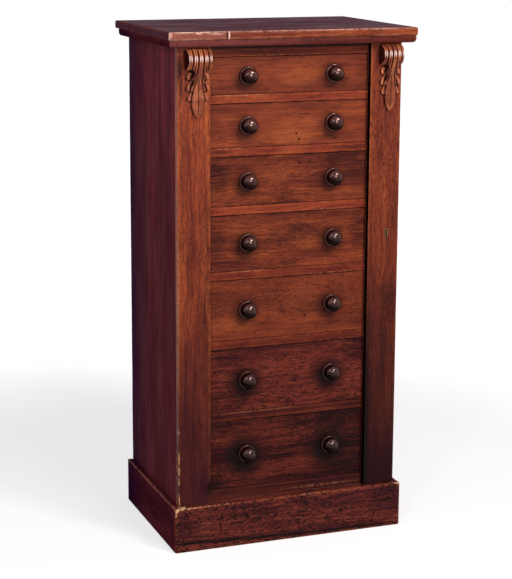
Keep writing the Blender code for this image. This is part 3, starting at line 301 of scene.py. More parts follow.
# Half width of the raised stem: drop, half width
STEM_WIDTHS = (
    (0.0, 0.018), (0.05, 0.0172), (0.06, 0.015), (0.078, 0.0148), (0.1, 0.014), (0.122, 0.015),
    (0.16, 0.016),
)
NOTCHES = (ROLL_END, 0.0745, 0.101, 0.122)
NOTCH_WIDTH = (0.018, 0.0176, 0.0172, 0.0152)
LOBE_REACH = (0.0262, 0.0266, 0.024)
TONGUE_START = 0.107
TONGUE_HALF_WIDTH = 0.0156
# Backs of the ribs, each with a shallow flute, and polish worn through on them in a band, painted as a
# highlight
RIBS = (0.0, 0.01135, 0.0225)
FLUTE_END = 0.06
FLUTE_HALF_WIDTH = 0.0024
FLUTE_DEPTH = 0.0016
BALD_HIGHLIGHT_START = 0.01
BALD_HIGHLIGHT_FADE = 0.022
# Veins cut between the ribs and leaves: x at each drop, then how deep and how wide they are cut
VEINS = (
    (((0.0, 0.017), (0.052, 0.0172)), 0.0046, 0.0044),
    (((0.0, 0.0057), (0.03, 0.0057), (0.044, 0.0058), (0.054, 0.0064), (0.066, 0.0092), (0.08, 0.0138),
      (0.092, 0.0172), (0.101, 0.0186)), 0.0044, 0.0044),
    (((0.036, 0.012), (0.048, 0.0124), (0.06, 0.0144), (0.068, 0.0166), (0.0745, 0.0184)), 0.0026, 0.004),
    (((0.06, 0.0038), (0.076, 0.0066), (0.092, 0.0104), (0.108, 0.014), (0.122, 0.0158)), 0.003, 0.004),
    (((0.066, 0.0), (0.09, 0.0), (0.15, 0.0)), 0.0016, 0.0026),
)
VEIN_RISE = 0.012
VEIN_LEAD = 0.004

# Strip glued behind the plinth and under the base board, and the gaps around it
STRIP_HEIGHT = 0.02
STRIP_THICKNESS = 0.018
STRIP_END_GAP = 0.004
STRIP_FRONT_GAP = 0.0002
STRIP_TOP_GAP = 0.0004

# Where looks change on a piece
RAIL_BACK = -0.15
RAIL_FOOT = 0.119
PLINTH_FRONT = -0.18
PLINTH_OUTSIDE = 0.29
LINING_SIDE = 0.19


# Camera

def shown(name, data):
    """Object of a mesh, lamp or camera, put into the scene."""
    made = bpy.data.objects.new(name, data)
    bpy.context.scene.collection.objects.link(made)
    return made


def make_camera():
    """Camera at the photograph's place and angle."""
    yaw, pitch, roll = (math.radians(angle) for angle in CAMERA_TURN)
    forward = Vector((math.sin(yaw) * math.cos(pitch), math.cos(yaw) * math.cos(pitch), -math.sin(pitch)))
    level = Vector((math.cos(yaw), -math.sin(yaw), 0.0))
    down = forward.cross(level)
    right = level * math.cos(roll) + down * math.sin(roll)
    down = down * math.cos(roll) - level * math.sin(roll)
    data = bpy.data.cameras.new("camera")
    data.lens = CAMERA_FOCAL_PIXELS * data.sensor_width / IMAGE_HEIGHT
    data.shift_y = CAMERA_SHIFT
    camera = shown("camera", data)
    turned = Matrix((right, -down, -forward)).transposed().to_4x4()
    camera.matrix_world = Matrix.Translation(CAMERA_PLACE) @ turned
    bpy.context.scene.camera = camera


# Nodes of materials

def add(tree, kind, inputs=None, **settings):
    """Adds a shader node, sets its properties and fills its sockets with values or links."""
    made = tree.nodes.new("ShaderNode" + kind)
    for key, value in settings.items():
        setattr(made, key, value)
    for socket, value in (inputs or {}).items():
        if isinstance(value, bpy.types.NodeSocket):
            tree.links.new(value, made.inputs[socket])
        elif made.inputs[socket].type == "RGBA":
            made.inputs[socket].default_value = (*value, 1.0)
        else:
            made.inputs[socket].default_value = value
    return made


def maths(tree, operation, first, second=0.0):
    """Operation on two values."""
    return add(tree, "Math", {0: first, 1: second}, operation=operation).outputs[0]


def vector_maths(tree, operation, first, second):
    """Operation on two vectors."""
    return add(tree, "VectorMath", {0: first, 1: second}, operation=operation).outputs[0]


def distance_to_zero(tree, vector):
    """Length of a vector."""
    return add(tree, "VectorMath", {0: vector}, operation="LENGTH").outputs[1]


def around_zero(tree, value, size):
    """Noise between 0 and 1 as a swing around 0."""
    return maths(tree, "MULTIPLY", maths(tree, "SUBTRACT", value, 0.5), size)


def mixed(tree, factor, first, second, blend="MIX"):
    """Colour between first and second."""
    made = add(tree, "Mix", {0: factor, 6: first, 7: second}, data_type="RGBA", blend_type=blend)
    return made.outputs[2]


def remap(tree, value, low, high, to_low=0.0, to_high=1.0):
    """Value carried smoothly from one range to another, and held at its ends."""
    made = add(tree, "MapRange", {0: value, 1: low, 2: high, 3: to_low, 4: to_high},
               interpolation_type="SMOOTHSTEP")
    return made.outputs[0]


def ramp(tree, value, places, colours):
    """Colour ramp with a colour at each place."""
    made = add(tree, "ValToRGB", {0: value})
    elements = made.color_ramp.elements
    while len(elements) < len(places):
        elements.new(0.5)
    for element, place, colour in zip(elements, places, colours):
        element.position = place
        element.color = (*colour, 1.0)
    return made.outputs[0]


def field(tree, coordinates, scale, detail=2.0, roughness=0.5, grain=None, stretch=1.0, offset=0.0,
          distortion=0.0):
    """Noise value, drawn out along the grain's axis by a small stretch factor."""
    mapped = add(tree, "Mapping", {
        "Vector": coordinates, "Location": (offset, offset * 0.7, offset * 1.3),
        "Scale": tuple(stretch if axis == grain else 1.0 for axis in "XYZ")}).outputs[0]
    made = add(tree, "TexNoise", {"Vector": mapped, "Scale": scale, "Detail": detail,
                                  "Roughness": roughness, "Distortion": distortion})
    return made.outputs[0]


def shifted(tree, place, shifts):
    """Coordinates moved by values given for axes."""
    return vector_maths(tree, "ADD", place, add(tree, "CombineXYZ", shifts).outputs[0])


def attribute(tree, name):
    """Value that the mesh holds under a name, 0 where it has none."""
    return add(tree, "Attribute", attribute_name=name).outputs["Fac"]


def blots(tree, place, shapes):
    """Mask of soft ellipses in the board's plane: (x, z, half width, half height, strength)."""
    mask = 0.0
    for x, z, width, height, strength in shapes:
        away = vector_maths(tree, "SUBTRACT", place, (x, 0.0, z))
        away = vector_maths(tree, "MULTIPLY", away, (1 / width, 0.0, 1 / height))
        blot = remap(tree, distance_to_zero(tree, away), 1.0, 0.25, 0.0, strength)
        mask = maths(tree, "MAXIMUM", blot, mask)
    return mask


def new_material(name):
    """Material, its node tree, its surface shader and the coordinates of its object."""
    material = bpy.data.materials.new(name)
    material.use_nodes = True
    tree = material.node_tree
    return material, tree, tree.nodes["Principled BSDF"], add(tree, "TexCoord").outputs["Object"]


def dress(tree, surface, colour, rough, height, relief, distance=0.0005):
    """Joins colour, roughness and bumps to a surface shader."""
    bump = add(tree, "Bump", {"Strength": relief, "Distance": distance, "Height": height})
    for socket, value in (("Base Color", colour), ("Roughness", rough), ("Normal", bump.outputs[0])):
        tree.links.new(value, surface.inputs[socket])


# Wood

def grain_fields(tree, place, grain, seed, dash_scale):
    """Straight and wavy coordinates, and the noise fields that wood is drawn with."""
    wander = field(tree, place, 6.0, detail=1.0, offset=seed + 3.1)
    bent = shifted(tree, place, {axis: around_zero(tree, wander, 0.0 if axis == grain else 0.03)
                                 for axis in "XYZ"})
    return SimpleNamespace(place=place, bent=bent,
                           figure=field(tree, bent, 22.0, 3.0, 0.5, grain, 0.1, seed),
                           bands=field(tree, bent, 150.0, 4.0, 0.65, grain, 0.035, seed + 1.7),
                           pores=field(tree, bent, 700.0, 2.0, 0.6, grain, 0.045, seed + 5.3),
                           patches=field(tree, place, 15.0, 5.0, 0.62, grain, 0.4, seed + 9.1),
                           dots=field(tree, place, dash_scale, 1.5, 0.5, grain, 0.42, seed + 4.4))


def clouded(tree, fields, mottle, stains):
    """Mask of dark cloudy patches, with stains whose borders follow the grain."""
    clouds = remap(tree, fields.patches, 0.48, 0.68, 0.0, mottle)
    if not stains:
        return clouds
    ragged = shifted(tree, fields.place, {"X": around_zero(tree, fields.patches, 0.06),
                                          "Z": around_zero(tree, fields.bands, 0.03)})
    streaky = remap(tree, fields.bands, 0.3, 0.62, 1.0, 0.55)
    return maths(tree, "MAXIMUM", clouds, maths(tree, "MULTIPLY", blots(tree, ragged, stains), streaky))


def shaded(tree, colour, height, shade):
    """Colour times a brightness by height, a painted shade. The ramp holds half of it, because it ends at
    1.
    """
    factor = ramp(tree, maths(tree, "DIVIDE", height, CHEST_HEIGHT),
                  [place / CHEST_HEIGHT for place, bright in shade],
                  [(bright / 2,) * 3 for place, bright in shade])
    colour = mixed(tree, 1.0, colour, factor, "MULTIPLY")
    return mixed(tree, 1.0, colour, (2.0, 2.0, 2.0), "MULTIPLY")


def worn_bare(tree, place, edge, seed, chips, scars):
    """Mask of the chips, which keep to the arrises, and of the scars, which lie anywhere. Some chips are
    painted highlights on the arrises.
    """
    ragged = field(tree, place, 110.0, detail=3.0, offset=seed)
    worn = maths(tree, "MULTIPLY", blots(tree, place, chips), remap(tree, edge, 0.55, 0.9))
    worn = maths(tree, "MULTIPLY", worn, remap(tree, ragged, 0.4, 0.5))
    torn = maths(tree, "ADD", blots(tree, place, scars), maths(tree, "SUBTRACT", ragged, 0.5))
    return maths(tree, "MAXIMUM", worn, remap(tree, torn, 0.35, 0.6))


def pitted(tree, fields, dashes, marks):
    """Mask of short black pores, denser in the cloudy patches, and of black marks."""
    gathered = maths(tree, "ADD", fields.dots, around_zero(tree, fields.patches, 0.45))
    pits = remap(tree, gathered, 0.6 - 0.05 * dashes, 0.65 - 0.05 * dashes, 0.0, dashes)
    return maths(tree, "MAXIMUM", pits, blots(tree, fields.place, marks)) if marks else pits


def wood(name, grain, seed, tone=0.5, contrast=1.0, mottle=0.3, streak=0.5, dashes=0.3,
         dash_scale=420.0, wear_and_light=0.6, gloss=0.36, shine=0.05, sheen=WHITE, relief=0.3,
         shade=((0.0, 1.0), (CHEST_HEIGHT, 1.0)), tint=None, colours=BROWNS, soot=DEEP, pale=GLOW,
         bare=PALE, light_colour=None, stains=(), lights=(), marks=(), chips=(), scars=()):
    """Polished old mahogany.

    tone moves the board from its darkest colour (0) to its brightest (1). mottle darkens cloudy
    patches to the colour soot, streak darkens lines along the grain, and dashes sets short black
    pores, finer with a larger dash_scale. The arrises are painted the colour pale, by a strength
    of their own: worn on most boards, painted shade of the gaps on the drawer fronts, and worn
    with a painted highlight on the carving's ridges. gloss is the roughness, shine the strength of
    reflections, sheen their colour and relief the grain's depth. shade is a list of (height,
    brightness), a painted shade that is mostly darker towards the floor, and tint is (colour,
    axis, start, end, strength).

    stains, lights, marks, chips and scars are blots: soft and dark, soft and light, small and
    black, worn to the colour bare on an arris, and worn to it anywhere. Some of them paint shadow
    and highlights, as their tables say.
    """
    material, tree, surface, place = new_material(name)
    fields = grain_fields(tree, place, grain, seed, dash_scale)
    value = maths(tree, "ADD", around_zero(tree, fields.figure, 0.8 * contrast),
                  around_zero(tree, fields.bands, 0.95 * contrast))
    colour = ramp(tree, maths(tree, "ADD", value, tone), WOOD_STOPS, colours)
    if lights:
        colour = mixed(tree, blots(tree, fields.bent, lights), colour, light_colour or colours[-1])
    lines = remap(tree, fields.pores, 0.5, 0.62)
    colour = mixed(tree, maths(tree, "MULTIPLY", lines, streak), colour, colours[0])
    colour = mixed(tree, clouded(tree, fields, mottle, stains), colour, soot)

    # The arrises are painted: worn on most boards, painted shade of the gaps on the drawer fronts, and worn
    # with a painted highlight on the carving's ridges
    edge = attribute(tree, "edge")
    nibbled = field(tree, place, 38.0, detail=3.0, offset=seed + 7.0)
    arris_wear_and_light = maths(tree, "MULTIPLY", edge, remap(tree, nibbled, 0.36, 0.62, 0.15, 1.0))
    colour = mixed(tree, maths(tree, "MULTIPLY", arris_wear_and_light, wear_and_light), colour, pale)

    places = add(tree, "SeparateXYZ", {0: place}).outputs
    # Painted shade by height
    colour = shaded(tree, colour, places[2], shade)
    if tint:
        tinge, axis, start, end, strength = tint
        share = remap(tree, places["XYZ".index(axis)], start, end, 0.0, strength)
        colour = mixed(tree, share, colour, tinge)
    if chips or scars:
        worn = worn_bare(tree, place, edge, seed, chips, scars)
        colour = mixed(tree, worn, colour, bare)
    pits = pitted(tree, fields, dashes, marks)
    colour = mixed(tree, pits, colour, INK)
    # Worn polish on the carving's ribs, painted as a highlight
    colour = mixed(tree, attribute(tree, "bald_highlight"), colour, BALD_HIGHLIGHT)
    # Dirt with painted shade in the carving's hollows
    colour = mixed(tree, attribute(tree, "grime_and_shade"), colour, INK)

    rough = maths(tree, "ADD", remap(tree, fields.patches, 0.35, 0.7, gloss - 0.06, gloss + 0.14),
                  maths(tree, "MULTIPLY", arris_wear_and_light, 0.12))
    hollows = maths(tree, "ADD", maths(tree, "MULTIPLY", lines, 0.35), pits)
    height = maths(tree, "SUBTRACT", maths(tree, "MULTIPLY", fields.bands, 0.5), hollows)
    dress(tree, surface, colour, rough, height, relief)
    surface.inputs["Specular IOR Level"].default_value = shine
    surface.inputs["Specular Tint"].default_value = (*sheen, 1.0)
    return material


def pine(name, grain, seed, colours=PINE_COLOURS, joints=()):
    """Bare, aged softwood of linings, dust boards and back. The joints between its planks are blots."""
    material, tree, surface, place = new_material(name)
    rings = field(tree, place, 60.0, 3.0, 0.5, grain, 0.04, seed, distortion=0.3)
    fibres = field(tree, place, 500.0, 2.0, 0.6, grain, 0.03, seed + 2.0)
    dust = field(tree, place, 9.0, 4.0, 0.6, offset=seed + 6.0)
    value = maths(tree, "ADD", maths(tree, "MULTIPLY", rings, 0.8), maths(tree, "MULTIPLY", fibres, 0.25))
    colour = ramp(tree, value, PINE_STOPS, colours)
    colour = mixed(tree, remap(tree, dust, 0.45, 0.75, 0.0, 0.45), colour, PINE_DUST)
    edge = attribute(tree, "edge")
    colour = mixed(tree, maths(tree, "MULTIPLY", edge, 0.3), colour, PINE_ARRIS)
    if joints:
        colour = mixed(tree, blots(tree, place, joints), colour, INK)
    dress(tree, surface, colour, remap(tree, fibres, 0.3, 0.7, 0.62, 0.78), fibres, 0.35)
    return material


def metal(name, colour, tarnish, roughness):
    """Old brass or iron, browned in patches and scratched."""
    material, tree, surface, place = new_material(name)
    clouds = field(tree, place, 160.0, 4.0, 0.65)
    scratches = field(tree, place, 1800.0, grain="Z", stretch=0.15)
    tarnished = mixed(tree, remap(tree, clouds, 0.42, 0.66), colour, tarnish)
    rough = remap(tree, clouds, 0.35, 0.7, roughness, roughness + 0.25)
    dress(tree, surface, tarnished, rough, scratches, 0.2, 0.0002)
    surface.inputs["Metallic"].default_value = 1.0
    return material


# Meshes

def welded(node):
    """The node's solid as a bmesh, its corners merged and its flat faces joined."""
    shape = bmesh.new()
    shape.from_mesh(NODES[node].data)
    bmesh.ops.remove_doubles(shape, verts=shape.verts, dist=0.00002)
    bmesh.ops.dissolve_limit(shape, angle_limit=math.radians(0.2), verts=shape.verts, edges=shape.edges)
    return shape


def cut_across(shape, axis, places):
    """Splits every face at these places along an axis, so that the mesh can vary there."""
    normal = Vector([1.0 if name == axis else 0.0 for name in "XYZ"])
    for place in places:
        bmesh.ops.bisect_plane(shape, geom=shape.verts[:] + shape.edges[:] + shape.faces[:], dist=0.000001,
                               plane_co=normal * place, plane_no=normal)


def smooth(value):
    """Smooth step from 0 to 1."""
    value = max(0.0, min(1.0, value))
    return value * value * (3 - 2 * value)


def steps(low, high, pitch):
    """Places between low and high, about a pitch apart."""
    count = max(1, round((high - low) / pitch))
    return [low + (high - low) * number / count for number in range(1, count)]


def box_arrises(shape, low, high, chosen):
    """Edges of the shape that lie on the arrises of its box, where chosen(edge's middle) holds."""
    found = []
    for edge in shape.edges:
        ends = [vertex.co for vertex in edge.verts]
        planes = sum(all(abs(end[axis] - limit[axis]) < 0.00005 for end in ends)
                     for axis in range(3) for limit in (low, high))
        if planes >= 2 and chosen((ends[0] + ends[1]) / 2):
            found.append(edge)
    return found


def finish_mesh(shape, name, sharp=38):
    """Smooth-shaded mesh of the bmesh, sharp where faces meet at more than an angle in degrees."""
    mesh = bpy.data.meshes.new(name)
    shape.to_mesh(mesh)
    shape.free()
    mesh.shade_smooth()
    mesh.set_sharp_from_angle(angle=math.radians(sharp))
    return mesh


def mark(mesh, name, values):
    """Stores a value for each vertex, which materials read by its name."""
    made = mesh.attributes.new(name, "FLOAT", "POINT")
    made.data.foreach_set("value", values)


def piece(name, mesh, materials, nodes):
    """Shown object that stands for CAD nodes and rides on their body."""
    made = shown(name, mesh)
    for material in materials:
        mesh.materials.append(material)
    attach(made, NODES[nodes[0]]["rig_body"])
    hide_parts(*nodes)
    return made


def wear_arrises(shape, low, high, reach, chosen, dents, seed):
    """Dents the arrises of the shape's box, and gives each vertex's nearness to them."""
    edges = []
    for vertex in shape.verts:
        distances = sorted(max(0.0, distance) for axis in range(3)
                           for distance in (vertex.co[axis] - low[axis], high[axis] - vertex.co[axis]))
        nearness = 1 - smooth(distances[1] / reach)
        edges.append(nearness if chosen(vertex.co) else 0.0)
        if nearness > 0.8 and chosen(vertex.co):
            rub = noise.noise(vertex.co * 45.0 + Vector((seed, 0, 0))) - 0.1
            vertex.co -= vertex.normal * max(0.0, rub) * 2 * dents
    return edges


def board(name, node, material, arris=0.001, reach=0.007, pitch=0.02, dents=0.0003,
          chosen=lambda middle: True, others=(), pick=None):
    """Copy of a CAD board whose arrises are rounded, dented and marked, for materials to paint them as
    worn, and on some pieces as painted shade and highlight.

    chosen(middle) says which arrises are worn. Faces where pick(middle, normal) holds are of the
    other material.
    """
    low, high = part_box(node)
    shape = welded(node)
    rounded = box_arrises(shape, low, high, chosen)
    bmesh.ops.bevel(shape, geom=rounded, offset=arris, segments=3, profile=0.5, affect="EDGES",
                    clamp_overlap=True)
    size = high - low
    longest = max(range(3), key=lambda axis: size[axis])
    for axis in range(3):
        places = [low[axis] + reach, high[axis] - reach] if size[axis] > 2.2 * reach else []
        if axis == longest:
            places += steps(low[axis] + reach, high[axis] - reach, pitch)
        cut_across(shape, "XYZ"[axis], places)
    edges = wear_arrises(shape, low, high, reach, chosen, dents, len(name))
    mesh = finish_mesh(shape, name)
    mark(mesh, "edge", edges)
    made = piece(name, mesh, [material, *others], [node])
    if pick:
        for polygon in mesh.polygons:
            polygon.material_index = int(pick(polygon.center, polygon.normal))
    weighted = made.modifiers.new("Even normals", "WEIGHTED_NORMAL")
    weighted.keep_sharp = True
    return made


# Knobs

def turned_mesh(name, profile, sides):
    """Solid turned about Z from a profile of (radius, height), given from the top."""
    shape = bmesh.new()
    rings = []
    for radius, height in profile:
        if radius < 0.00001:
            rings.append([shape.verts.new((0, 0, height))] * sides)
        else:
            rings.append([shape.verts.new((radius * math.cos(turn), radius * math.sin(turn), height))
                          for turn in (2 * math.pi * side / sides for side in range(sides))])
    for upper, lower in zip(rings, rings[1:]):
        for side in range(sides):
            corners = [upper[side - 1], lower[side - 1], lower[side], upper[side]]
            shape.faces.new(sorted(set(corners), key=corners.index))
    bmesh.ops.recalc_face_normals(shape, faces=shape.faces)
    return finish_mesh(shape, name, sharp=60)


def knob_profile():
    """Profile of a turned knob: round head with a fine ring, waist, bead, wide foot and tenon."""
    profile = []
    for centre, radii, start, end, count in KNOB_ARCS:
        for number in range(count + 1):
            angle = math.radians(start + (end - start) * number / count)
            profile.append((centre[0] + radii[0] * math.cos(angle), centre[1] + radii[1] * math.sin(angle)))
    return profile + list(KNOB_TENON)


def knob_woods(group, shine):
    """Lit and shaded copies of a knob's wood, one for each band from the painted shade of its underside up
    to its painted light, and last the wood of its foot.
    """
    common = {"mottle": 0.5, "wear_and_light": 0.0, "dashes": 0.0, "relief": 0.02, "soot": INK, "sheen": KNOB_SHEEN}
    woods = []
    for band in range(KNOB_LIGHT_BANDS):
        share = band / (KNOB_LIGHT_BANDS - 1)
        shade = tuple((place, value * (0.15 + 1.05 * share)) for place, value in KNOB_SHADE)
        woods.append(wood(f"knob_wood_{group}_{band}", "Z", seed=3.0 * group, tone=0.22, gloss=0.12,
                          shine=shine * (0.08 + 0.92 * share), shade=shade, **common))
    common["mottle"] = 0.6
    woods.append(wood(f"knob_foot_wood_{group}", "Z", seed=3.0 * group + 1, tone=0.1, gloss=0.22,
                      shine=shine * 0.5, shade=((0.0, 0.14), (CHEST_HEIGHT, 0.4)), **common))
    return woods


def make_knob(number, side, profile, woods):
    """Turned knob on a drawer's front, painted lit above and in painted shade below."""
    node = f"drawer_{number}_knob_{side}"
    low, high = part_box(node)
    mesh = turned_mesh(f"knob_{number}_{side}", profile, KNOB_SIDES)
    foot = low.y + KNOB_STAND
    mesh.transform(Matrix.Translation(((low.x + high.x) / 2, foot, (low.z + high.z) / 2))
                   @ Matrix.Rotation(math.radians(90), 4, "X"))
    mesh.update()
    piece(f"knob_{number}_{side}", mesh, woods, [node])
    # Each face takes the band of painted light and shade for how far it faces up; the foot takes the last
    # wood
    for polygon in mesh.polygons:
        share = (polygon.normal.dot(KNOB_TOWARDS_LIGHT) - KNOB_SHADED_FACING) / (KNOB_LIT_FACING - KNOB_SHADED_FACING)
        band = round(min(1.0, max(0.0, share)) * (KNOB_LIGHT_BANDS - 1))
        polygon.material_index = KNOB_LIGHT_BANDS if polygon.center.y > foot - KNOB_FOOT else band


# Carving

def follow(points, place):
    """Value at a place along straight lines through points of (place, value)."""
    for (start, first), (end, second) in zip(points, points[1:]):
        if place <= end:
            share = max(0.0, (place - start) / (end - start))
            return first + (second - first) * share
    return points[-1][1]


def leaf_half_width(drop, height):
    """Outline of the leaf: the roll, three drooping lobes on each side, then a round tongue."""
    tongue = 0.0
    if drop > TONGUE_START:
        share = max(0.0, (drop - NOTCHES[-1]) / (height - NOTCHES[-1]))
        tongue = TONGUE_HALF_WIDTH * max(0.0, 1 - share ** 1.8) ** 0.6
    if drop <= ROLL_END:
        top = 1 - min(1.0, drop / 0.009)
        foot = 1 - min(1.0, (ROLL_END - drop) / 0.007)
        return PLAIN_HALF_WIDTH - 0.004 * top ** 2 - 0.0032 * foot ** 2
    for number, (start, end) in enumerate(zip(NOTCHES, NOTCHES[1:])):
        if start < drop <= end:
            share = (drop - start) / (end - start)
            notch = NOTCH_WIDTH[number] + (NOTCH_WIDTH[number + 1] - NOTCH_WIDTH[number]) * share
            lobe = math.sin(math.pi * share ** 1.8) ** 0.65
            return max(tongue, notch + (LOBE_REACH[number] - notch) * lobe)
    return max(0.0004, tongue)


def leaf_form(beside, drop, height, reach, chord):
    """Height of the uncut leaf off the stile, and how far a place is down from the stem to the side."""
    roll = ROLL_EDGE_DEPTH + (reach - ROLL_EDGE_DEPTH) * chord
    if drop < ROLL_MIDDLE:
        middle = roll
    else:
        middle = STEM_DEPTH + (reach - STEM_DEPTH) * (1 - smooth((drop - 0.022) / 0.074))
    middle *= 1 - 0.45 * smooth((drop - NOTCHES[-1]) / (height - NOTCHES[-1]))
    away = smooth((beside - follow(STEM_WIDTHS, drop) + 0.0055) / 0.0075)
    if drop <= ROLL_END:
        side = roll
    else:
        side = 0.003
        lip = 0.0
        for start, end in zip(NOTCHES, NOTCHES[1:]):
            if start < drop <= end:
                share = (drop - start) / (end - start)
                lip = math.sin(math.pi * min(1.0, share * 1.15)) if share < 0.87 else 0.0
                side = 0.0034 + 0.0058 * share ** 0.8 * (1 - smooth((share - 0.84) / 0.12))
        side += 0.0008 * lip * smooth((beside - 0.0205) / 0.003)
    return middle + (side - middle) * away, away


def leaf_cuts(beside, drop, chord, crest):
    """How deep veins and flutes are cut at a place, and how much dirt and painted shade they hold."""
    cut = 0.0
    grime_and_shade = 0.0
    for points, deep, width in VEINS:
        first = points[0][0]
        if first - VEIN_LEAD < drop < points[-1][0] + 0.002:
            start = smooth((drop - first + VEIN_LEAD) / VEIN_RISE) if first > 0 else 1.0
            distance = abs(beside - follow(points, drop)) / width
            if distance < 1:
                cut = max(cut, deep * start * (1 - distance) ** 1.7)
                grime_and_shade = max(grime_and_shade, start * max(0.0, 1 - 2.1 * distance))
    if drop < 0.03:
        cut *= 0.45 + 0.55 * chord
    if drop < FLUTE_END:
        flute = max(0.0, 1 - crest / FLUTE_HALF_WIDTH) * smooth((FLUTE_END - drop) / 0.02)
        cut += FLUTE_DEPTH * flute
        grime_and_shade = max(grime_and_shade, 0.6 * flute ** 2)
    return cut, grime_and_shade


def leaf_grime_and_shade(beside, drop, height, away):
    """Dirt and painted shade under the roll, on its cheeks, in the notches and along the leaf's outline."""
    under = smooth((drop - ROLL_END) / 0.001) * (1 - smooth((drop - ROLL_END - 0.002) / 0.006))
    cheek = smooth((beside - CHEEK) / 0.0014) if drop < ROLL_END else 0.0
    grime_and_shade = max(under * away, 0.25 * cheek)
    for notch in NOTCHES[1:]:
        grime_and_shade = max(grime_and_shade, 0.9 * away * math.exp(-((drop - notch) / 0.0016) ** 2))
    if drop > ROLL_END:
        outward = beside / max(0.001, leaf_half_width(drop, height))
        grime_and_shade = max(grime_and_shade, 0.5 * smooth((outward - 0.93) / 0.06))
    return grime_and_shade


def leaf_bald_highlight(beside, drop, cut, crest):
    """How far the polish is worn through, in wedges on the backs of the ribs: a painted highlight."""
    bald_highlight = 0.95 * smooth(1.6 - cut / 0.001)
    bald_highlight *= smooth((drop - BALD_HIGHLIGHT_START) / 0.006) * (1 - smooth((drop - BALD_HIGHLIGHT_FADE) / 0.01))
    wedge = 0.0012 + 0.0036 * smooth((drop - BALD_HIGHLIGHT_START) / 0.014)
    return bald_highlight * smooth((CHEEK - beside) / 0.002) * smooth((wedge - crest) / 0.0012)


def leaf_depth(x, drop, height, reach):
    """Height of the carving off the stile, how worn its ridges are (with a painted highlight on the roll),
    its dirt with painted shade, and its worn polish painted as a highlight.
    """
    beside = abs(x)
    chord = max(0.0, 1 - ((drop - ROLL_MIDDLE) / ROLL_RADIUS) ** 2) ** 0.5
    crest = min(abs(beside - rib) for rib in RIBS)
    depth, away = leaf_form(beside, drop, height, reach, chord)
    cut, grime_and_shade = leaf_cuts(beside, drop, chord, crest)
    grime_and_shade = max(grime_and_shade, leaf_grime_and_shade(beside, drop, height, away))
    # Ridges worn lighter, most on the roll, where it is also a painted highlight
    rub = smooth(1.5 - cut / 0.001) * (0.5 + 0.5 * smooth(1.15 - drop / 0.1))
    return max(0.0006, depth - cut), rub, 0.95 * grime_and_shade, leaf_bald_highlight(beside, drop, cut, crest)


def make_corbel(side, materials):
    """Acanthus bracket: five ribs roll over at the top, run down the stem and part into lobes."""
    node = f"corbel_{side}"
    low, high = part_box(node)
    middle = (low.x + high.x) / 2
    height = high.z - low.z
    reach = high.y - low.y
    spread = (high.x - low.x) / 2 / PLAIN_HALF_WIDTH
    shape = bmesh.new()
    # Worn ridges, dirt with painted shade, and worn polish painted as a highlight
    worn = {"edge": [], "grime_and_shade": [], "bald_highlight": []}
    rows = []
    for row in range(CORBEL_ROWS + 1):
        drop = height * row / CORBEL_ROWS
        half = leaf_half_width(drop, height)
        line = []
        for column in range(-1, CORBEL_COLUMNS + 2):
            share = 2 * min(max(column, 0), CORBEL_COLUMNS) / CORBEL_COLUMNS - 1
            x = half * share
            depth, *values = leaf_depth(x, drop, height, reach - 0.0002)
            depth *= 0.35 + 0.65 * (1 - abs(share) ** (6 if drop < ROLL_END else 12)) ** 0.5
            if column in (-1, CORBEL_COLUMNS + 1):
                depth = 0.0
            line.append(shape.verts.new((middle + x * spread, high.y - depth, high.z - drop)))
            for kept, value in zip(worn.values(), values):
                kept.append(value)
        rows.append(line)
    for upper, lower in zip(rows, rows[1:]):
        for first in range(len(upper) - 1):
            shape.faces.new((upper[first], lower[first], lower[first + 1], upper[first + 1]))
    shape.faces.new(list(reversed(rows[0])))
    shape.faces.new(rows[-1])
    bmesh.ops.recalc_face_normals(shape, faces=shape.faces)
    mesh = finish_mesh(shape, f"{side}_carving", sharp=75)
    for name, values in worn.items():
        mark(mesh, name, values)
    piece(f"{side}_carving", mesh, materials, [node])
    # Faces that look sideways, the cheeks, take the second wood: painted shade
    for polygon in mesh.polygons:
        polygon.material_index = int(abs(polygon.normal.x) > 0.85)


# Stage

def seen_directly(tree):
    """Mask of the rays by which the camera, reflections and glass see a thing."""
    rays = add(tree, "LightPath").outputs
    return maths(tree, "MAXIMUM", rays["Is Camera Ray"],
                 maths(tree, "MAXIMUM", rays["Is Glossy Ray"], rays["Is Transmission Ray"]))


def emptied(owner):
    """Node tree of a material or world, with its first nodes taken out."""
    owner.use_nodes = True
    owner.node_tree.nodes.clear()
    return owner.node_tree


def make_floor():
    """White floor that keeps the chest's shadow."""
    shape = bmesh.new()
    bmesh.ops.create_grid(shape, x_segments=1, y_segments=1, size=FLOOR_HALF_SIZE)
    mesh = finish_mesh(shape, "floor")
    material = bpy.data.materials.new("floor")
    tree = emptied(material)
    paper = add(tree, "BsdfDiffuse", {"Color": FLOOR_COLOUR})
    away = distance_to_zero(tree, add(tree, "TexCoord").outputs["Object"])
    strength = remap(tree, away, *FLOOR_GLOW)
    glow = add(tree, "Emission", {"Color": WHITE,
                                  "Strength": maths(tree, "MULTIPLY", seen_directly(tree), strength)})
    both = add(tree, "AddShader", {0: paper.outputs[0], 1: glow.outputs[0]})
    add(tree, "OutputMaterial", {"Surface": both.outputs[0]})
    mesh.materials.append(material)
    floor = shown("floor", mesh)


def make_world():
    """Surroundings that are seen white and light the chest dimly."""
    world = bpy.data.worlds.new("surroundings")
    bpy.context.scene.world = world
    tree = emptied(world)
    dim = add(tree, "Background", {"Color": WORLD_COLOUR, "Strength": WORLD_STRENGTH})
    white = add(tree, "Background", {"Color": WHITE})
    chosen = add(tree, "MixShader", {0: seen_directly(tree), 1: dim.outputs[0], 2: white.outputs[0]})
    add(tree, "OutputWorld", {"Surface": chosen.outputs[0]})


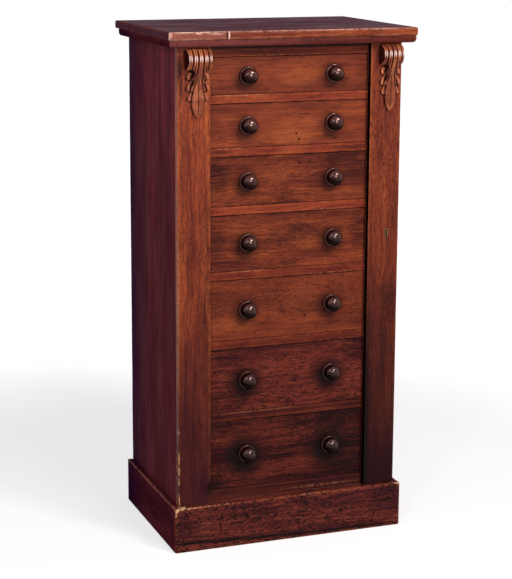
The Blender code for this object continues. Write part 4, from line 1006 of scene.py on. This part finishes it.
def make_lamp(name, place, target, width, height, power, colour):
    """Soft rectangular lamp turned towards a target."""
    data = bpy.data.lights.new(name, "AREA")
    data.shape = "RECTANGLE"
    data.size = width
    data.size_y = height
    data.energy = power
    data.color = colour
    made = shown(name, data)
    made.location = place
    made.rotation_euler = (Vector(target) - Vector(place)).to_track_quat("-Z", "Y").to_euler()


# Pieces

def make_plinth():
    """Front of the plinth, cracked and chipped."""
    material = wood(
        "plinth_front_wood", "X", seed=35.0, tone=0.61, contrast=1.8, mottle=0.75, streak=0.9, dashes=0.9,
        dash_scale=300.0, colours=REDS, stains=PLINTH_STAINS, marks=PLINTH_CRACKS, chips=PLINTH_CHIPS,
        scars=PLINTH_SCARS, shade=((0.0, 0.8), (0.03, 0.72), (0.08, 0.7), (0.11, 0.84)),
        tint=((0.06, 0.012, 0.022), "X", -0.3, -0.28, 0.22))
    board("front_plinth", "plinth_front", material, chosen=lambda middle: middle.y < PLINTH_FRONT)


def make_rails():
    """Rails between the drawers, with pine dust boards behind them, and the base board."""
    rail = wood(
        "rail_wood", "X", seed=41.0, tone=0.54, contrast=1.3, mottle=0.35, streak=0.4, wear_and_light=0.5,
        dash_scale=300.0, colours=RAIL_COLOURS, pale=RAIL_COLOURS[-1], bare=(0.5, 0.2, 0.1),
        marks=RAIL_MARKS_AND_SHADOW, stains=RAIL_STAINS, chips=RAIL_CHIPS_AND_HIGHLIGHTS, lights=RAIL_LIGHTS,
        # Painted shade, darker towards the floor
        shade=((0.1, 0.38), (0.16, 0.38), (0.32, 0.44), (0.65, 0.82), (0.9, 0.9), (0.965, 0.86),
               (1.09, 0.95), (1.18, 0.85), (1.23, 0.8)),
        tint=((0.05, 0.01, 0.013), "Z", 0.5, 0.1, 0.5))
    dividers = [f"divider_{number}" for number in DRAWERS[:-1]]
    for node in ["top_rail", "bottom_rail", "base_board"] + dividers:
        board(node + "_board", node, rail, others=[LININGS_ACROSS],
              pick=lambda middle, normal: middle.y > RAIL_BACK, chosen=lambda middle: middle.z > RAIL_FOOT)


def make_top():
    """Top board with its pale front edge, partly painted highlight, and the mouldings under it."""
    top = wood(
        "top_wood", "X", seed=51.0, tone=0.4, contrast=0.3, mottle=0.2, streak=0.2, dashes=0.0, gloss=0.35,
        shine=0.0005, colours=TOP_AND_SHEEN_COLOURS, soot=TOP_DARK, wear_and_light=0.3)
    fascia = wood(
        "fascia_wood", "X", seed=53.0, tone=0.54, contrast=1.4, mottle=0.5, pale=(0.46, 0.17, 0.1),
        bare=(0.76, 0.46, 0.36), dash_scale=300.0, tint=(BLUSH, "X", -0.16, -0.17, 0.28),
        light_colour=(0.76, 0.45, 0.38), lights=FASCIA_LIGHTS_AND_HIGHLIGHTS, marks=FASCIA_MARKS, chips=FASCIA_CHIPS_AND_HIGHLIGHTS,
        scars=FASCIA_SCARS)
    board("top_slab", "top_board", top, arris=0.0025, others=[fascia],
          pick=lambda middle, normal: normal.y < -0.25)
    moulding = wood(
        "moulding_wood", "X", seed=55.0, tone=0.46, mottle=0.4, dashes=0.5, dash_scale=300.0, wear_and_light=0.5,
        shade=((0.0, 0.78), (CHEST_HEIGHT, 0.78)), colours=REDS, pale=RED_GLOW,
        tint=((0.16, 0.045, 0.048), "X", 0.3, -0.31, 0.5))
    board("front_cornice", "cornice_front", moulding)
    side_moulding = wood(
        "side_moulding_wood", "Y", seed=57.0, tone=0.3, shine=0.0, gloss=0.45,
        shade=((0.0, 0.8), (CHEST_HEIGHT, 0.8)), **SIDE_LOOK)
    for side in SIDES:
        board(f"{side}_cornice", f"cornice_{side}", side_moulding)


def make_glue_strip():
    """Strip glued behind the plinth, under the base board."""
    low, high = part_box("base_board")
    first = Vector((low.x + STRIP_END_GAP, low.y + STRIP_FRONT_GAP, low.z - STRIP_HEIGHT))
    last = Vector((high.x - STRIP_END_GAP, low.y + STRIP_THICKNESS, low.z - STRIP_TOP_GAP))
    shape = bmesh.new()
    bmesh.ops.create_cube(shape, size=1.0)
    for vertex in shape.verts:
        vertex.co = [first[axis] + (last[axis] - first[axis]) * (vertex.co[axis] + 0.5)
                     for axis in range(3)]
    mesh = finish_mesh(shape, "glue_strip")
    mesh.materials.append(BACK_PINE)
    made = shown("glue_strip", mesh)
    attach(made, NODES["base_board"]["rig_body"])


def make_carcass():
    """Everything that stands still."""
    stile = wood(
        "stile_wood", "Z", seed=1.0, tone=0.54, contrast=1.35, mottle=0.35, streak=0.75, dash_scale=330.0,
        stains=STILE_STAINS_AND_SHADE, marks=STILE_MARKS, chips=STILE_CHIPS_AND_HIGHLIGHT, bare=(0.62, 0.29, 0.12),
        # Its tint turns it purple towards the floor, and its shade is painted shade, darker there
        tint=((0.06, 0.01, 0.02), "Z", 0.7, 0.0, 0.45),
        shade=((0.0, 0.3), (0.12, 0.3), (0.35, 0.55), (0.6, 0.95), (1.0, 1.15), (CHEST_HEIGHT, 1.15)))
    dark = wood(
        "side_wood", "Z", seed=21.0, tone=0.36, contrast=0.9, mottle=0.25, streak=0.3, dashes=0.1,
        # Painted shade, brighter towards the top
        gloss=0.45, shine=0.0015, shade=((0.0, 0.9), (0.9, 1.0), (CHEST_HEIGHT, 1.4)), **SIDE_LOOK)
    board("left_stile", "left_pilaster", stile)
    for side in SIDES:
        board(f"{side}_side", f"side_{side}", dark, arris=0.0006, others=[stile],
              pick=lambda middle, normal: normal.y < -0.5)
        plinth = wood(f"plinth_{side}_wood", "Y", seed=31.0, tone=0.28, mottle=0.4, shine=0.0, wear_and_light=0.8,
                      chips=SIDE_PLINTH_CHIPS, **SIDE_LOOK)
        board(f"{side}_plinth", f"plinth_{side}", plinth,
              chosen=lambda middle: abs(middle.x) > PLINTH_OUTSIDE)
    board("back_boards", "back_panel", BACK_PINE)
    board("back_plinth", "plinth_back", BACK_PINE)
    make_plinth()
    make_rails()
    make_top()
    make_glue_strip()


def make_drawers():
    """Drawer fronts with dirt and painted shadow around their knobs, and their pine linings."""
    tables = zip(DRAWERS, DRAWER_LOOKS, DRAWER_STAINS_AND_SHADE, DRAWER_LIGHTS, DRAWER_MARKS, KNOB_GRIME_AND_SHADOWS)
    for number, look, stains, lights, marks, (grime_shadow_size, grime_shadow_strength) in tables:
        tone, bright, contrast, mottle, streak, dashes = look
        # Dirt and painted shadow around each knob
        grime_and_shadows = []
        for side in SIDES:
            low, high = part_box(f"drawer_{number}_knob_{side}")
            grime_and_shadows.append(((low.x + high.x) / 2 - KNOB_SHADOW_LEFT, (low.z + high.z) / 2 - KNOB_SHADOW_DOWN,
                          grime_shadow_size, grime_shadow_size, grime_shadow_strength))
        front = wood(
            f"drawer_{number}_wood", "X", seed=60.0 + 7 * number, tone=tone, contrast=contrast,
            # Black arrises: painted shade of the gaps around the drawer
            mottle=mottle, streak=streak, dashes=dashes, dash_scale=310.0, wear_and_light=0.85, pale=INK,
            stains=stains, lights=lights, marks=(*marks, *grime_and_shadows),
            shade=((0.0, bright), (CHEST_HEIGHT, bright)),
            colours=BROWNS if number <= LAST_BROWN_DRAWER else LOW_DRAWER_COLOURS)
        board(f"drawer_{number}_face", f"drawer_{number}_front", front, reach=0.0023)
        board(f"drawer_{number}_linings", f"drawer_{number}_box", LININGS,
              others=[LININGS_ACROSS], pick=lambda middle, normal: abs(middle.x) < LINING_SIDE)


def make_knobs():
    """Two knobs on each drawer."""
    profile = knob_profile()
    for group, (numbers, shine) in enumerate(KNOB_GROUPS):
        woods = knob_woods(group, shine)
        for number in numbers:
            for side in SIDES:
                make_knob(number, side, profile, woods)


def make_flap():
    """Locking flap with painted shade on its inner edge, and the corbels of the flap and of the stile."""
    face = wood(
        "flap_wood", "Z", seed=5.0, tone=0.5, contrast=1.3, mottle=0.4, streak=0.75, dashes=0.45,
        dash_scale=330.0, tint=((0.036, 0.007, 0.012), "Z", 1.0, 0.1, 0.4), marks=FLAP_MARKS_AND_SHADE,
        stains=FLAP_STAINS_AND_SHADOW,
        # Painted shade, much darker towards the floor
        shade=((0.0, 0.08), (0.15, 0.11), (0.28, 0.26), (0.42, 0.48), (0.65, 0.78), (0.95, 1.04),
               (CHEST_HEIGHT, 1.12)))
    # The flap's face towards the drawers is painted dark: painted shade
    edge = wood(
        "flap_shaded_edge_wood", "Z", seed=6.0, tone=0.1, mottle=0.6, streak=0.6, wear_and_light=0.0, shine=0.0,
        colours=(INK, DEEP, RED_DARK, DARK), shade=((0.0, 0.5), (CHEST_HEIGHT, 0.9)))
    board("flap", "locking_flap", face, others=[edge], pick=lambda middle, normal: normal.x < -0.7)
    carving = wood(
        # Its ridges are painted lighter: worn, and a painted highlight on the roll
        "carving_wood", "Z", seed=9.0, tone=0.43, mottle=0.4, wear_and_light=0.85, pale=(0.6, 0.185, 0.07),
        shine=0.13, gloss=0.17, relief=0.12, dashes=0.0)
    # The corbels' cheeks are painted dark: painted shade
    shaded_cheek = wood(
        "carving_shaded_cheek_wood", "Z", seed=12.0, tone=0.42, mottle=0.5, streak=0.6, wear_and_light=0.0, shine=0.0,
        colours=(DEEP, DARK, MIDDLE, WARM), shade=((0.0, 0.8), (CHEST_HEIGHT, 0.8)))
    for side in SIDES:
        make_corbel(side, [carving, shaded_cheek])


def make_metalwork():
    """Metals of the CAD's own keyhole liner, lock and hinges."""
    metals = {"escutcheon": DULL_BRASS, "lock_case": IRON, "lock_bolt": IRON, "lock_keep": BRASS}
    for height in ("upper", "lower"):
        for body in ("carcass", "flap"):
            metals[f"hinge_{height}_{body}_leaf"] = BRASS
    for node, material in metals.items():
        NODES[node].data.materials.clear()
        NODES[node].data.materials.append(material)


make_camera()
make_floor()
make_world()
for lamp in LAMPS:
    make_lamp(*lamp)
bpy.context.scene.view_settings.view_transform = "Standard"

LININGS = pine("lining_y", "Y", 2.0)
LININGS_ACROSS = pine("lining_x", "X", 4.0)
BACK_PINE = pine("back_pine", "Z", 6.0, BACK_PINE_COLOURS, BACK_JOINTS)
BRASS = metal("brass", (0.5, 0.34, 0.15), (0.3, 0.19, 0.085), 0.3)
DULL_BRASS = metal("dull_brass", (0.2, 0.115, 0.06), (0.035, 0.018, 0.012), 0.38)
IRON = metal("iron", (0.13, 0.122, 0.118), (0.085, 0.068, 0.056), 0.42)

make_carcass()
make_drawers()
make_knobs()
make_flap()
make_metalwork()
